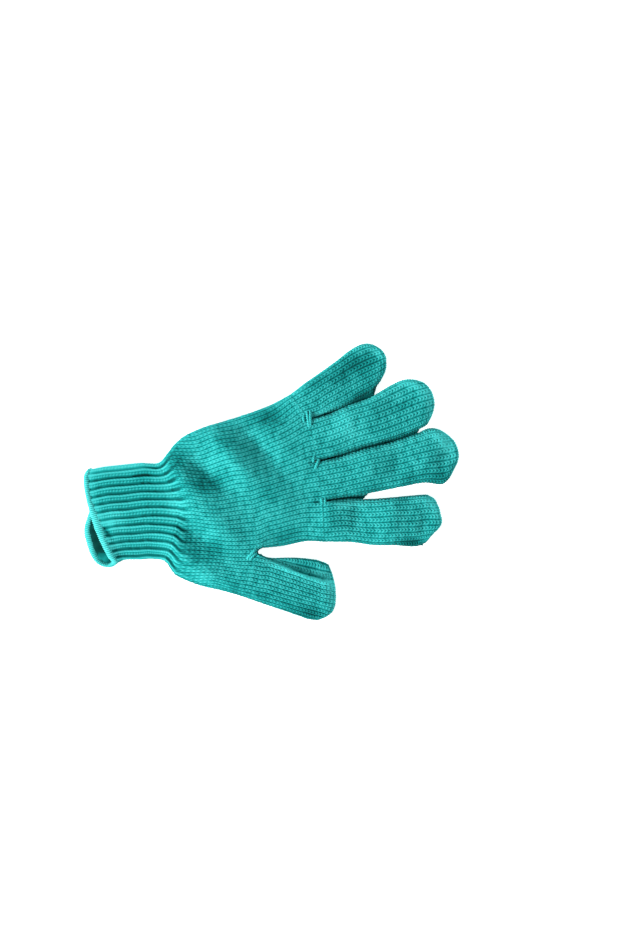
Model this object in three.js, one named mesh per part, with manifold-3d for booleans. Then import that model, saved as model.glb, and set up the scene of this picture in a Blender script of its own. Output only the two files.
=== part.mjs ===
// A seamless knitted wool glove, lying palm up on a table, in millimetres.
//
// +X runs from the cuff's mouth to the tip of the middle finger, +Y is the little-finger side, and +Z is up.
// The origin is at the middle of the glove's plan, on the table.
import * as THREE from "three";
import { mergeVertices } from "three/addons/utils/BufferGeometryUtils.js";
import Module from "manifold-3d";

// Fabric
const WALL = 1.8;
const CUFF_WALL = 2.6;
const EDGE_THICK = 2.8;
const JOIN_GAP = 0.3;
const EDGE_GAP = 0.5;
const TEAL = 0x2ba5a3;

// Ribs of the cuff
const RIBS_PER_FACE = 13;
const POINTS_PER_RIB = 3;
const RIB_DEEP = 0.8;

// Shape of a flattened knitted tube in section
const EDGE_SHARE = 0.38; // height of the widest place, as a share of the whole height
const SQUARENESS = 0.78; // below 1 the sides are fuller than an ellipse's
const CROWN = 0.85;
const UNDERSIDE = 1.7; // how soon the fabric reaches the table, coming in from the side

// How many points go round each tube
const FINGER_SIDES = 16;
const THUMB_SIDES = 28;
const HAND_SIDES = 40;
const EDGE_SIDES = 6;

// How many sections each body has along its length
const FINGER_SECTIONS = 13;
const FINGER_HOLLOW_SECTIONS = 7;
const ROOT_SECTIONS = 3;
const THUMB_BASE_SECTIONS = 5;
const HAND_SECTIONS = 11;
const CUFF_SECTIONS = 5;
const EDGE_SECTIONS = 56;

// The fabric is gathered at a fingertip, so a hollow ends some rows of its table before the tip.
const FINGER_TIP_ROWS = 2.3;
const THUMB_TIP_ROWS = 3.3;
// How far the palm's body and its hollow reach past a root before they are cut back, in rows.
const BODY_PAST_ROOT = 0.3;
const HOLLOW_PAST_ROOT = 0.5;

// Each row is a section across the glove: a is its edge on the little-finger side, b its edge on the thumb
// side, high its height off the table. A finger's first row is inside the hand, and its second is its root.
const LITTLE_FINGER = table("ax ay bx by high", [
  [5, 55, 11, 36, 11],
  [22.6, 61.2, 31.6, 43.8, 12],
  [33, 66.6, 38.8, 44.1, 12],
  [44, 71.7, 48, 46.4, 12],
  [55, 77, 58, 49, 11.5],
  [66, 82.8, 67.5, 51.9, 11],
  [74.5, 85, 76, 54.9, 10.5],
  [81, 83.4, 82, 59.6, 9],
  [85.6, 79.6, 86, 65, 7],
  [87.8, 75.5, 87.6, 69.5, 4.5],
]);
const RING_FINGER = table("ax ay bx by high", [
  [10, 40, 11, 15.5, 11],
  [31.6, 42.8, 32.3, 16.2, 12.5],
  [45, 44.5, 47.6, 17.3, 12.5],
  [59, 48, 62, 19.5, 12],
  [73, 50.5, 76, 20.6, 12],
  [86.7, 55.7, 89, 22, 11.5],
  [96, 57.9, 99, 24.1, 11],
  [104, 56.4, 106.3, 26.5, 9.5],
  [109.5, 53.2, 110, 31.2, 8],
  [112.4, 48.8, 112.5, 35.4, 6],
  [113.5, 44.2, 113.6, 39.4, 4],
]);
const MIDDLE_FINGER = table("ax ay bx by high", [
  [11, 14, 10, -10.5, 11],
  [32.2, 15.3, 31.2, -9.5, 12.5],
  [47, 16.4, 46, -10.1, 12.5],
  [64, 18.8, 63, -10.4, 12.5],
  [82, 20, 82, -10.1, 12],
  [98, 22.5, 98, -10.1, 11.5],
  [107, 24.4, 109, -12.9, 10.5],
  [114, 22, 114.6, -9.4, 9],
  [118.9, 17.5, 118.6, -4.4, 7.5],
  [121.7, 13.4, 121.5, -0.6, 6],
  [123.1, 8.9, 123.1, 3.7, 4],
]);
const INDEX_FINGER = table("ax ay bx by high", [
  [9, -10, 8, -32.5, 11],
  [31, -10.4, 28, -36.2, 12.5],
  [46, -11, 44, -39.2, 12.5],
  [61, -13.6, 59, -43.8, 12],
  [76, -15.2, 73, -46.5, 12],
  [89, -16.2, 85, -49.2, 11.5],
  [99, -17.6, 92.5, -47.8, 10.5],
  [103, -21.3, 98, -43.2, 8.5],
  [104.7, -27, 102.6, -40, 6],
  [105.2, -32, 104.8, -37.4, 4],
]);
// The thumb's first three rows are its base, inside the hand, and its fourth is its root. Along its palm side
// the tube is folded in: fold is where the fold's ridge runs, as a share of the way from a to b, and beyond
// the ridge the fabric lies at the height shelf.
const THUMB_ROOT = 3;
const THUMB = table("ax ay bx by high fold shelf", [
  [-66, -28, -68, -42.5, 9, 0, 9],
  [-50, -26, -52, -51.3, 13, 0, 11],
  [-34, -29, -40, -56.3, 14, 0, 9],
  [-15.8, -35.3, -28, -62.5, 13, 0.02, 8],
  [-8, -39.5, -18, -68.2, 13, 0.06, 7],
  [4, -41.7, -7, -74.2, 12.5, 0.2, 6.5],
  [14, -44, 3, -79.8, 12, 0.28, 6],
  [22, -46.7, 9.5, -83.4, 11.5, 0.31, 6],
  [27.3, -50.8, 15, -85, 10.5, 0.28, 5.5],
  [29.4, -58, 20, -84.3, 9, 0.14, 5.5],
  [29.9, -66.5, 24.6, -82.2, 7, 0, 5],
  [29.7, -71.8, 27.6, -78.6, 4.5, 0, 4.5],
]);
// The hand's rows also say how far their middle bows towards the fingers.
const HAND_ROOT = 8.7; // where the hollow of the hand ends, in rows
const HAND = table("ax ay bx by high bow", [
  [-69, 32.5, -77, -30, 12, 10],
  [-62.2, 37.1, -69.8, -41, 13.5, 8],
  [-54.4, 44.2, -61.3, -46.6, 15, 5],
  [-44.7, 48, -49, -49.5, 16, 2],
  [-28, 51, -33, -45, 16, 0],
  [-11.3, 53.1, -16, -34.6, 15.5, 0],
  [5, 55.8, 2.7, -33.2, 15, 0],
  [18, 59.2, 16, -33.3, 14, 1],
  [28.5, 63.8, 28, -36.2, 12, 3],
  [36, 66, 36, -37, 10, 3],
]);
const CUFF = table("ax ay bx by high bow", [
  [-104, 36.4, -99.5, -25.8, 12, 0],
  [-92, 35.7, -90, -27.4, 11.5, 0],
  [-80, 34.8, -83, -28.2, 12, 3],
  [-67.5, 33, -75.3, -30.9, 12.5, 10],
]);
// The middle line of the mouth's finished edge. It starts at the little-finger side, crosses the top layer and
// comes back along the bottom layer, which spreads further out.
const MOUTH_TOP = table("x y z", [
  [-114.2, 34.6, 4.5],
  [-115.2, 31.5, 7.5],
  [-115.4, 23, 9.5],
  [-114.6, 11, 10.2],
  [-112.9, 1, 10.6],
  [-110.4, -7.5, 11.2],
  [-107.8, -15, 11.6],
  [-105.8, -21, 10.2],
  [-104.9, -25.2, 6.2],
]);
const MOUTH_BOTTOM = table("x y z", [
  [-104.9, -25.2, 6.2],
  [-108.8, -26.6, 2],
  [-115.2, -25.7, 1.4],
  [-120.1, -19.5, 1.4],
  [-121.8, -10.5, 1.4],
  [-120.4, -1, 1.4],
  [-117.2, 8, 1.4],
  [-115.6, 20, 1.4],
  [-114.8, 31, 1.8],
  [-114.2, 34.6, 4.5],
]);

// Furrows of the top layer: heading is in degrees from +X, long and wide are half sizes, and a swelling has a
// negative depth.
const FURROWS = table("x y heading long wide deep", [
  [-46, 15, -60, 22, 5, 2.2],
  [-29.6, 22.6, -64, 24, 6, -1],
  [-13.3, 28.5, -47, 17, 5, 1.4],
  [6, 31, -10, 15, 6, -0.7],
  [6.5, 50, 12, 18, 4, 1.2],
  [-50.8, 2, -10, 12, 12, -1],
  [-55.7, -24.1, -57, 14, 4, 2],
  [73.5, 72, 80, 8, 5, 1.2],
  [43.1, -25, 80, 14, 5, 1],
  [84, -32, 80, 14, 5, 1],
  [83, -46, 0, 9, 3, 1.5],
  [-104, -4, -55, 6, 3, 1.2],
]);

// Turns rows of numbers into objects with the named columns.
function table(columns, rows) {
  const names = columns.split(" ");
  return rows.map((row) => Object.fromEntries(row.map((value, i) => [names[i], value])));
}

function steps(count) {
  return Array.from({ length: count + 1 }, (_, i) => i / count);
}

function furrowAt(x, y) {
  let deep = 0;
  for (const furrow of FURROWS) {
    const heading = THREE.MathUtils.degToRad(furrow.heading);
    const [dx, dy] = [x - furrow.x, y - furrow.y];
    const along = (dx * Math.cos(heading) + dy * Math.sin(heading)) / furrow.long;
    const across = (dy * Math.cos(heading) - dx * Math.sin(heading)) / furrow.wide;
    deep += furrow.deep * Math.exp(-(along ** 2) - across ** 2);
  }
  return deep;
}

// The smooth sections of a table between two of its rows.
function sectionsBetween(rows, from, to, count) {
  const column = (...names) => {
    const points = rows.map((row) => new THREE.Vector3(...names.map((name) => row[name] ?? 0)));
    return new THREE.CatmullRomCurve3(points);
  };
  const edgeA = column("ax", "ay", "high");
  const edgeB = column("bx", "by", "bow");
  const top = column("fold", "shelf", "high");
  return steps(count).map((share) => {
    const at = (from + (to - from) * share) / (rows.length - 1);
    const [a, b, lid] = [edgeA.getPoint(at), edgeB.getPoint(at), top.getPoint(at)];
    return { ax: a.x, ay: a.y, high: a.z, bx: b.x, by: b.y, bow: b.z, fold: lid.x, shelf: lid.y };
  });
}

// The ring of points round one section, inset from the outside: from edge a over the top to edge b, and back
// underneath. The underside lies flat on the table.
function ringOf(section, inset, sides) {
  const { ax, ay, bx, by, high, bow, fold, shelf } = section;
  const width = Math.hypot(bx - ax, by - ay);
  const kept = 1 - (2 * inset) / width;
  const [low, top] = [inset, high - inset];
  const edge = low + EDGE_SHARE * (top - low);
  return steps(sides)
    .slice(0, sides)
    .map((turn) => {
      const [side, rise] = [Math.cos(turn * 2 * Math.PI), Math.sin(turn * 2 * Math.PI)];
      const across = kept * Math.sign(side) * Math.abs(side) ** SQUARENESS;
      const share = (1 - across) / 2;
      const x = THREE.MathUtils.lerp(ax, bx, share) + bow * (1 - across ** 2);
      const y = THREE.MathUtils.lerp(ay, by, share);
      if (rise < 0) return new THREE.Vector3(x, y, edge - (edge - low) * Math.min(1, -rise * UNDERSIDE));
      let z = edge + (top - edge) * rise ** CROWN;
      if (shelf) {
        const ridge = THREE.MathUtils.smoothstep(share - inset / width, fold - 0.05, fold + 0.05);
        z = Math.min(z, THREE.MathUtils.lerp(shelf - inset, top, ridge));
      }
      z -= (furrowAt(x, y) * (z - low)) / (top - low);
      return new THREE.Vector3(x, y, z);
    });
}

function geometryOf(points, faces) {
  return new THREE.BufferGeometry().setFromPoints(points).setIndex(faces);
}

// Faces between two rings of a body whose outside is on their left, going round.
function band(faces, first, second, sides) {
  for (let k = 0; k < sides; k++) {
    const next = (k + 1) % sides;
    faces.push(first + k, first + next, second + next);
    faces.push(first + k, second + next, second + k);
  }
}

// A fan over the end ring of a body, round a middle point.
function fan(faces, middle, ring, sides, far) {
  for (let k = 0; k < sides; k++) {
    const next = (k + 1) % sides;
    if (far) faces.push(middle, ring + k, ring + next);
    else faces.push(middle, ring + next, ring + k);
  }
}

function middleOf(ring) {
  return ring.reduce((sum, point) => sum.add(point), new THREE.Vector3()).divideScalar(ring.length);
}

// A closed body through rings, with both ends covered.
function loft(rings) {
  const sides = rings[0].length;
  const points = [...rings.flat(), middleOf(rings[0]), middleOf(rings.at(-1))];
  const faces = [];
  for (let r = 0; r < rings.length - 1; r++) band(faces, r * sides, (r + 1) * sides, sides);
  fan(faces, points.length - 2, 0, sides, false);
  fan(faces, points.length - 1, (rings.length - 1) * sides, sides, true);
  return geometryOf(points, faces);
}

// A tube wall: its outside runs through the outer rings and its hollow through the inner ones. It is open at
// the first rings, and also at the last ones if it has no tip.
function sleeve(outer, inner, hasTip) {
  const sides = outer[0].length;
  const points = [...outer.flat(), ...inner.flat()];
  const faces = [];
  const hollow = outer.length * sides;
  const outerEnd = (outer.length - 1) * sides;
  const innerEnd = hollow + (inner.length - 1) * sides;
  for (let r = 0; r < outer.length - 1; r++) band(faces, r * sides, (r + 1) * sides, sides);
  for (let r = 0; r < inner.length - 1; r++) band(faces, hollow + (r + 1) * sides, hollow + r * sides, sides);
  band(faces, hollow, 0, sides);
  if (hasTip) {
    points.push(middleOf(outer.at(-1)), middleOf(inner.at(-1)));
    fan(faces, points.length - 2, outerEnd, sides, true);
    fan(faces, points.length - 1, innerEnd, sides, false);
  } else {
    band(faces, outerEnd, innerEnd, sides);
  }
  return geometryOf(points, faces);
}

function ringsOf(rows, from, to, count, inset, sides) {
  return sectionsBetween(rows, from, to, count).map((section) => ringOf(section, inset, sides));
}

function finger(rows, root, sides, tipRows) {
  const last = rows.length - 1;
  const outer = ringsOf(rows, root, last, FINGER_SECTIONS, 0, sides);
  const inner = ringsOf(rows, root, last - tipRows, FINGER_HOLLOW_SECTIONS, WALL, sides);
  return sleeve(outer, inner, true);
}

// Where the ribs end: an arc that bows towards the fingers.
function wristLine(count) {
  const { ax, ay, bx, by, bow } = CUFF.at(-1);
  return steps(count).map((share) => {
    const across = 1 - 2 * share;
    const x = THREE.MathUtils.lerp(ax, bx, share) + bow * (1 - across ** 2);
    return new THREE.Vector2(x, THREE.MathUtils.lerp(ay, by, share));
  });
}

// Points spread evenly round one half of a ring, so that the ribs are evenly wide.
function evenly(points, count) {
  return new THREE.CatmullRomCurve3(points).getSpacedPoints(count).slice(0, count);
}

function ribbedRing(topHalf, bottomHalf, ribbed) {
  const count = RIBS_PER_FACE * POINTS_PER_RIB;
  const ring = [...evenly(topHalf, count), ...evenly(bottomHalf, count)];
  if (!ribbed) return ring;
  return ring.map((point, k) => {
    const before = ring.at(k - 1);
    const after = ring[(k + 1) % ring.length];
    const inward = new THREE.Vector3(0, after.z - before.z, before.y - after.y).normalize().negate();
    const groove = k % POINTS_PER_RIB ? 0 : RIB_DEEP;
    const sunk = point.clone().addScaledVector(inward, groove);
    return sunk.setZ(Math.max(sunk.z, 0));
  });
}

// The two halves of a plain section of the cuff.
function halvesOf(section, inset) {
  const sides = 24;
  const ring = ringOf(section, inset, sides);
  return [ring.slice(0, sides / 2 + 1), [...ring.slice(sides / 2), ring[0]]];
}

// The mouth's line, moved along the fabric into the cuff, and out from or into its wall.
function mouthHalf(rows, outward, setBack) {
  const last = rows.length - 1;
  const line = new THREE.CatmullRomCurve3(rows.map((row) => new THREE.Vector3(row.x, row.y, row.z)));
  return rows.map((row, i) => {
    const turn = Math.PI * (rows === MOUTH_TOP ? i / last : 1 + i / last);
    const out = new THREE.Vector3(0, Math.cos(turn), Math.sin(turn));
    const inland = out.clone().cross(line.getTangent(i / last)).normalize();
    return line.getPoint(i / last).addScaledVector(inland, setBack).addScaledVector(out, outward);
  });
}

function ribbedCuff() {
  const setBack = EDGE_THICK / 2 + EDGE_GAP;
  const last = CUFF.length - 1;
  const sections = sectionsBetween(CUFF, 0, last, CUFF_SECTIONS);
  const rings = (inset, outward, ribbed) => [
    ribbedRing(mouthHalf(MOUTH_TOP, outward, setBack), mouthHalf(MOUTH_BOTTOM, outward, setBack), ribbed),
    ...sections.map((section) => ribbedRing(...halvesOf(section, inset), ribbed)),
  ];
  return sleeve(rings(0, CUFF_WALL / 2, true), rings(CUFF_WALL, -CUFF_WALL / 2, false), false);
}

function cuffEdge() {
  const line = [...MOUTH_TOP.slice(0, -1), ...MOUTH_BOTTOM.slice(0, -1)];
  const path = new THREE.CatmullRomCurve3(line.map((row) => new THREE.Vector3(row.x, row.y, row.z)), true);
  return new THREE.TubeGeometry(path, EDGE_SECTIONS, EDGE_THICK / 2, EDGE_SIDES, true);
}

const wasm = await Module();
wasm.setup();

function solidOf(geometry) {
  const bare = geometry.clone();
  bare.deleteAttribute("normal");
  bare.deleteAttribute("uv");
  const merged = mergeVertices(bare, 1e-3);
  const vertProperties = merged.getAttribute("position").array;
  const triVerts = new Uint32Array(merged.index.array);
  return new wasm.Manifold(new wasm.Mesh({ numProp: 3, vertProperties, triVerts }));
}

function geometryOfSolid(made) {
  const { vertProperties, triVerts, numProp } = made.getMesh();
  const points = Array.from({ length: vertProperties.length / numProp }, (_, i) =>
    new THREE.Vector3().fromArray(vertProperties, i * numProp),
  );
  return geometryOf(points, Array.from(triVerts));
}

// A tall block over a plan outline, for cutting the hand back to the line where the next piece starts.
function cutter(outline) {
  const [below, tall] = [10, 50];
  const shape = new THREE.Shape(outline);
  return solidOf(new THREE.ExtrudeGeometry(shape, { depth: tall, bevelEnabled: false }).translate(0, 0, -below));
}

// The hand is the palm's tube joined with the base of the thumb and the roots of the fingers.
function hand() {
  const fingers = [LITTLE_FINGER, RING_FINGER, MIDDLE_FINGER, INDEX_FINGER];
  const tube = (...measures) => solidOf(loft(ringsOf(...measures)));
  const joined = (inset, handEnd, past) =>
    [
      ...fingers.map((rows) => tube(rows, 0, 1 + past, ROOT_SECTIONS, inset, FINGER_SIDES)),
      tube(THUMB, 0, THUMB_ROOT + past, THUMB_BASE_SECTIONS, inset, FINGER_SIDES),
    ].reduce((all, piece) => all.add(piece), tube(HAND, 0, handEnd, HAND_SECTIONS, inset, HAND_SIDES));
  const body = joined(0, HAND.length - 1, BODY_PAST_ROOT);
  const hollow = joined(WALL, HAND_ROOT, HOLLOW_PAST_ROOT);
  const cuts = [wristCut(), rootCut(fingers), thumbCut()];
  return geometryOfSolid(cuts.reduce((all, cut) => all.subtract(cut), body.subtract(hollow)));
}

function wristCut() {
  const arcSteps = 12;
  const line = wristLine(arcSteps).map((point) => point.clone().add(new THREE.Vector2(JOIN_GAP, 0)));
  const [first, last] = [line[0], line.at(-1)];
  const [beyond, clear] = [30, 5];
  return cutter([
    new THREE.Vector2(first.x - beyond, first.y + beyond),
    new THREE.Vector2(first.x, first.y + beyond),
    ...line,
    new THREE.Vector2(last.x, last.y - clear),
    new THREE.Vector2(last.x - beyond, last.y - clear),
  ]);
}

function rootCut(fingers) {
  const corner = (x, y) => new THREE.Vector2(x - JOIN_GAP, y);
  const roots = fingers.flatMap((rows) => [corner(rows[1].ax, rows[1].ay), corner(rows[1].bx, rows[1].by)]);
  const [first, last] = [roots[0], roots.at(-1)];
  const [beyond, clear] = [60, 8];
  return cutter([
    new THREE.Vector2(first.x + beyond, first.y + beyond),
    new THREE.Vector2(first.x - clear, first.y + clear),
    ...roots,
    new THREE.Vector2(last.x, last.y - clear),
    new THREE.Vector2(last.x + beyond, last.y - clear),
  ]);
}

function thumbCut() {
  const { ax, ay, bx, by } = THUMB[THUMB_ROOT];
  const a = new THREE.Vector2(ax, ay);
  const b = new THREE.Vector2(bx, by);
  const down = b.clone().sub(a).normalize();
  const ahead = new THREE.Vector2(-down.y, down.x);
  const at = (point, along, on) => point.clone().addScaledVector(down, along).addScaledVector(ahead, on);
  const [before, past, beyond] = [-1.5, 8, 60];
  return cutter([
    at(a, before, -JOIN_GAP),
    at(b, past, -JOIN_GAP),
    at(b, past, beyond),
    at(a, before, beyond),
  ]);
}

const glove = new THREE.Group();

function add(name, geometry) {
  const yarn = new THREE.MeshStandardMaterial({ color: TEAL, roughness: 0.95, metalness: 0 });
  const mesh = new THREE.Mesh(geometry, yarn);
  mesh.name = name;
  glove.add(mesh);
}

add("ribbed_cuff", ribbedCuff());
add("cuff_edge", cuffEdge());
add("hand", hand());
add("thumb", finger(THUMB, THUMB_ROOT, THUMB_SIDES, THUMB_TIP_ROWS));
add("index_finger", finger(INDEX_FINGER, 1, FINGER_SIDES, FINGER_TIP_ROWS));
add("middle_finger", finger(MIDDLE_FINGER, 1, FINGER_SIDES, FINGER_TIP_ROWS));
add("ring_finger", finger(RING_FINGER, 1, FINGER_SIDES, FINGER_TIP_ROWS));
add("little_finger", finger(LITTLE_FINGER, 1, FINGER_SIDES, FINGER_TIP_ROWS));

export default glove;
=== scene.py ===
# %% [markdown]
# # A knitted wool glove, stitch by stitch
#
# The glove lies palm up on a table. The solids give its size and its main form. What they leave out is
# the knit, which is all that the eye sees on the real thing, so every piece here is a fine skin with each
# stitch in relief.

# %% The frame
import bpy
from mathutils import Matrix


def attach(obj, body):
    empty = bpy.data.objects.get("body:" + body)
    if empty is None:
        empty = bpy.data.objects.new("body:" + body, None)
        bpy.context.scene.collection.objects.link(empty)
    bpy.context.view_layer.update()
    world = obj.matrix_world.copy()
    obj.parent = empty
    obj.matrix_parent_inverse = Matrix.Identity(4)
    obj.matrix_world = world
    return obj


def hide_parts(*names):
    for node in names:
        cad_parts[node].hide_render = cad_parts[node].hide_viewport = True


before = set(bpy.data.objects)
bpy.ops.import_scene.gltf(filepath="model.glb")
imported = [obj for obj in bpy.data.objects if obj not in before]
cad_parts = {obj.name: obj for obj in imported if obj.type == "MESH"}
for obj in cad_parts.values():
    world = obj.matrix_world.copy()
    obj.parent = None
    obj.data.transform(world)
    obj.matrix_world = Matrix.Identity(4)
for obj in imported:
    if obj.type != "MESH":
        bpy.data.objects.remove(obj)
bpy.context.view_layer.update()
print("pieces in the frame:", ", ".join(sorted(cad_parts)))

# %% [markdown]
# ## The camera
#
# The photograph looks straight down on the glove, which is turned by ten degrees in the picture. The
# camera could come last, but everything later is judged through it, so it comes first.

# %% Camera
import math
import bpy
import numpy as np
from mathutils import Vector

PICTURE_TALL = 0.596  # metres of table in the picture's height
CAMERA_HIGH = 1.0
LOOK_AT = (0.0276, 0.0138, 0.006)
PICTURE_TURN = math.radians(-10)

camera_data = bpy.data.cameras.new("camera")
camera_data.sensor_width = 36
camera_data.lens = camera_data.sensor_width * CAMERA_HIGH / PICTURE_TALL
camera = bpy.data.objects.new("camera", camera_data)
camera.location = Vector(LOOK_AT) + Vector((0, 0, CAMERA_HIGH))
camera.rotation_euler = (0, 0, PICTURE_TURN)
bpy.context.collection.objects.link(camera)
bpy.context.scene.camera = camera
bpy.context.scene.view_settings.view_transform = "Standard"
print("lens", round(camera_data.lens, 1), "mm")

# %% [markdown]
# ## The light
#
# The light in the photograph is soft and comes mostly from the left: slopes that face it are bright and
# the far edges fall dark. One broad lamp does that. Two low, weak ones lift the edges at the top and on
# the right, and a pale world keeps the shadows from going black. A sun lamp would be simpler, but its
# shadows are too sharp.

# %% Light
def in_picture(right, up):
    """A direction in plan, given as the picture shows it."""
    return Vector((right, up, 0)) @ camera.rotation_euler.to_matrix().inverted()


def area_light(name, place, size, watts):
    data = bpy.data.lights.new(name, "AREA")
    data.shape = "DISK"
    data.size = size
    data.energy = watts
    light = bpy.data.objects.new(name, data)
    light.location = Vector(LOOK_AT) + place
    light.rotation_euler = (-place).to_track_quat("-Z", "Y").to_euler()
    bpy.context.collection.objects.link(light)
    return light


key = area_light("key", in_picture(-1.25, -0.6) + Vector((0, 0, 0.9)), 0.5, 49)
area_light("fill", in_picture(-0.5, 1.5) + Vector((0, 0, 0.3)), 0.6, 15)
area_light("rim", in_picture(1.6, 0.1) + Vector((0, 0, 0.2)), 0.6, 16)
world = bpy.data.worlds.new("pale_room")
world.use_nodes = True
world.node_tree.nodes["Background"].inputs["Color"].default_value = (0.97, 0.99, 1.0, 1)
world.node_tree.nodes["Background"].inputs["Strength"].default_value = 0.15
bpy.context.scene.world = world
print("key light at", tuple(round(x, 2) for x in key.location))

# %% [markdown]
# ## Shader maths
#
# A wool yarn is never one colour: the loops catch light and the gaps between them are deep teal. That
# colour is partly the yarn's own and partly painted: painted shade in the gaps and a painted highlight on
# the crests. The shader reads how deep each point of the knit lies and turns that into colour. A small
# class lets those sums be written as plain Python, and one method makes every other node.

# %% Sockets with operators
class Socket:
    """A number in a shader, with Python's operators."""

    def __init__(self, shader, socket):
        self.shader, self.socket = shader, socket

    def sum_with(self, other, operation, flipped=False):
        values = (other, self) if flipped else (self, other)
        return self.shader.node("ShaderNodeMath", {"operation": operation}, {0: values[0], 1: values[1]})

    def __add__(self, other):
        return self.sum_with(other, "ADD")

    def __sub__(self, other):
        return self.sum_with(other, "SUBTRACT")

    def __rsub__(self, other):
        return self.sum_with(other, "SUBTRACT", flipped=True)

    def __mul__(self, other):
        return self.sum_with(other, "MULTIPLY")

    __radd__, __rmul__ = __add__, __mul__


class Shader:
    """One material and its nodes."""

    def __init__(self, name):
        self.material = bpy.data.materials.new(name)
        self.material.use_nodes = True
        self.tree = self.material.node_tree
        self.surface = self.tree.nodes["Principled BSDF"]

    def node(self, kind, settings=None, inputs=None, output=0):
        made = self.tree.nodes.new(kind)
        for key, value in (settings or {}).items():
            if key == "stops":
                self.set_stops(made.color_ramp, value)
            else:
                setattr(made, key, value)
        for key, value in (inputs or {}).items():
            self.feed(made.inputs[key], value)
        return Socket(self, made.outputs[output])

    def set_stops(self, ramp, stops):
        while len(ramp.elements) < len(stops):
            ramp.elements.new(1.0)
        for element, (place, colour) in zip(ramp.elements, stops):
            element.position = place
            element.color = (*colour, 1)

    def feed(self, socket, value):
        if isinstance(value, Socket):
            self.tree.links.new(value.socket, socket)
        elif hasattr(socket.default_value, "__len__") and len(value) == 3 and len(socket.default_value) == 4:
            socket.default_value = (*value, 1)
        else:
            socket.default_value = value

    def finish(self, **inputs):
        for name, value in inputs.items():
            self.feed(self.surface.inputs[name.replace("_", " ")], value)
        return self.material


print("shader helpers ready")

# %% [markdown]
# ## The wool
#
# Every knit mesh carries two numbers on its points: how high the point stands in the relief of the
# stitches (0 at the bottom of a gap, 1 on a loop), and a tone that drifts slowly from stitch to stitch
# and also carries painted light and shade.
# Reading them is better than a texture in space, because they stay with the stitches wherever the fabric
# bends. A fine noise stands for the fibres, and a sheen for the hairs that stand off the yarn.

# %% Wool materials
# The darkest teal is painted shade, for the inside of the cuff and the slits between the fingers.
PAINTED_SHADE_TEAL = (0.0, 0.085, 0.08)  # inside the cuff and between the fingers
GAP_TEAL = (0.0, 0.075, 0.07)
LOOP_TEAL = (0.007, 0.295, 0.285)
CREST_TEAL = (0.055, 0.57, 0.555)
FUZZ = 0.4  # strength of the sheen


def attribute(shader, name):
    return shader.node("ShaderNodeAttribute", {"attribute_name": name}, output=2)


def noise(shader, place, scale, detail):
    values = {"Vector": place, "Scale": scale, "Detail": detail}
    return shader.node("ShaderNodeTexNoise", {"noise_dimensions": "3D"}, values)


def wool(name, painted_shade, gap, loop, crest):
    """Matt yarn: dark in the gaps, lighter on the loops, with a fine halo of fibres."""
    shader = Shader(name)
    relief = attribute(shader, "relief")
    tone = attribute(shader, "tone")
    place = shader.node("ShaderNodeTexCoord", output=3)
    fibres = noise(shader, place, 2600.0, 2.0)
    patches = noise(shader, place, 90.0, 3.0)
    height = relief + (fibres - 0.5) * 0.25 + tone * 0.07 + (patches - 0.5) * 0.05
    # The ramp gives the yarn's own teal, with painted shade in the gaps and a painted highlight on the
    # crests.
    colour = shader.node(
        "ShaderNodeValToRGB",
        {"stops": [(0.0, painted_shade), (0.06, gap), (0.55, loop), (0.98, crest)]},
        {"Fac": height},
    )
    bumps = fibres + relief * 0.5
    bump = shader.node("ShaderNodeBump", {}, {"Strength": 0.5, "Distance": 0.0002, "Height": bumps})
    return shader.finish(
        Base_Color=colour,
        Roughness=0.92,
        Normal=bump,
        Sheen_Weight=FUZZ,
        Sheen_Roughness=0.35,
        Sheen_Tint=(0.2, 1.0, 0.98),
        Specular_IOR_Level=0.08,
    )


plain_wool = wool("plain_wool", PAINTED_SHADE_TEAL, GAP_TEAL, LOOP_TEAL, CREST_TEAL)
# rib_wool's darkest colour is painted shade, for the inside of the cuff.
rib_wool = wool("rib_wool", (0.0, 0.04, 0.035), (0.0, 0.13, 0.12), LOOP_TEAL, CREST_TEAL)
edge_thread = wool("edge_thread", PAINTED_SHADE_TEAL, (0.0, 0.15, 0.14), (0.02, 0.40, 0.385), (0.11, 0.70, 0.68))
print("materials:", plain_wool.name, rib_wool.name, edge_thread.name)

# %% [markdown]
# ## The floor
#
# The photograph's ground is white all over, with a faint shadow close to the glove. A picture with
# nothing below the glove would lose that shadow. So a large pale sheet lies there, which glows a little
# and stays white. It belongs to the picture and not to the glove, so it is only staged.

# %% Floor
FLOOR_REACH = 3
FLOOR_HIGH = -0.0004  # a hair below the glove

floor_mesh = bpy.data.meshes.new("floor")
corners = [(x * FLOOR_REACH, y * FLOOR_REACH, FLOOR_HIGH) for x, y in ((-1, -1), (1, -1), (1, 1), (-1, 1))]
floor_mesh.from_pydata(corners, [], [(0, 1, 2, 3)])
paper = Shader("pale_floor").finish(
    Base_Color=(0.8, 0.8, 0.8),
    Roughness=0.9,
    Emission_Color=(1.0, 1.0, 1.0),
    Emission_Strength=0.89,
)
floor_mesh.materials.append(paper)
floor = bpy.data.objects.new("floor", floor_mesh)
bpy.context.collection.objects.link(floor)
print("floor staged")

# %% [markdown]
# ## The form under the stitches
#
# All lengths from here on are in millimetres, as a maker measures, and become metres when a mesh is made.
# The rows are those of the solids: each is a section across a finger, with its edge a on the little-
# finger side and its edge b on the thumb side. Smooth curves run through the rows. Loft tools would give
# the same form, but the curves can be asked for any point, which the stitches need.

# %% Tables of the fingers
def table(columns, rows):
    """One array for each named column."""
    return dict(zip(columns.split(), np.array(rows, float).T))


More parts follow.
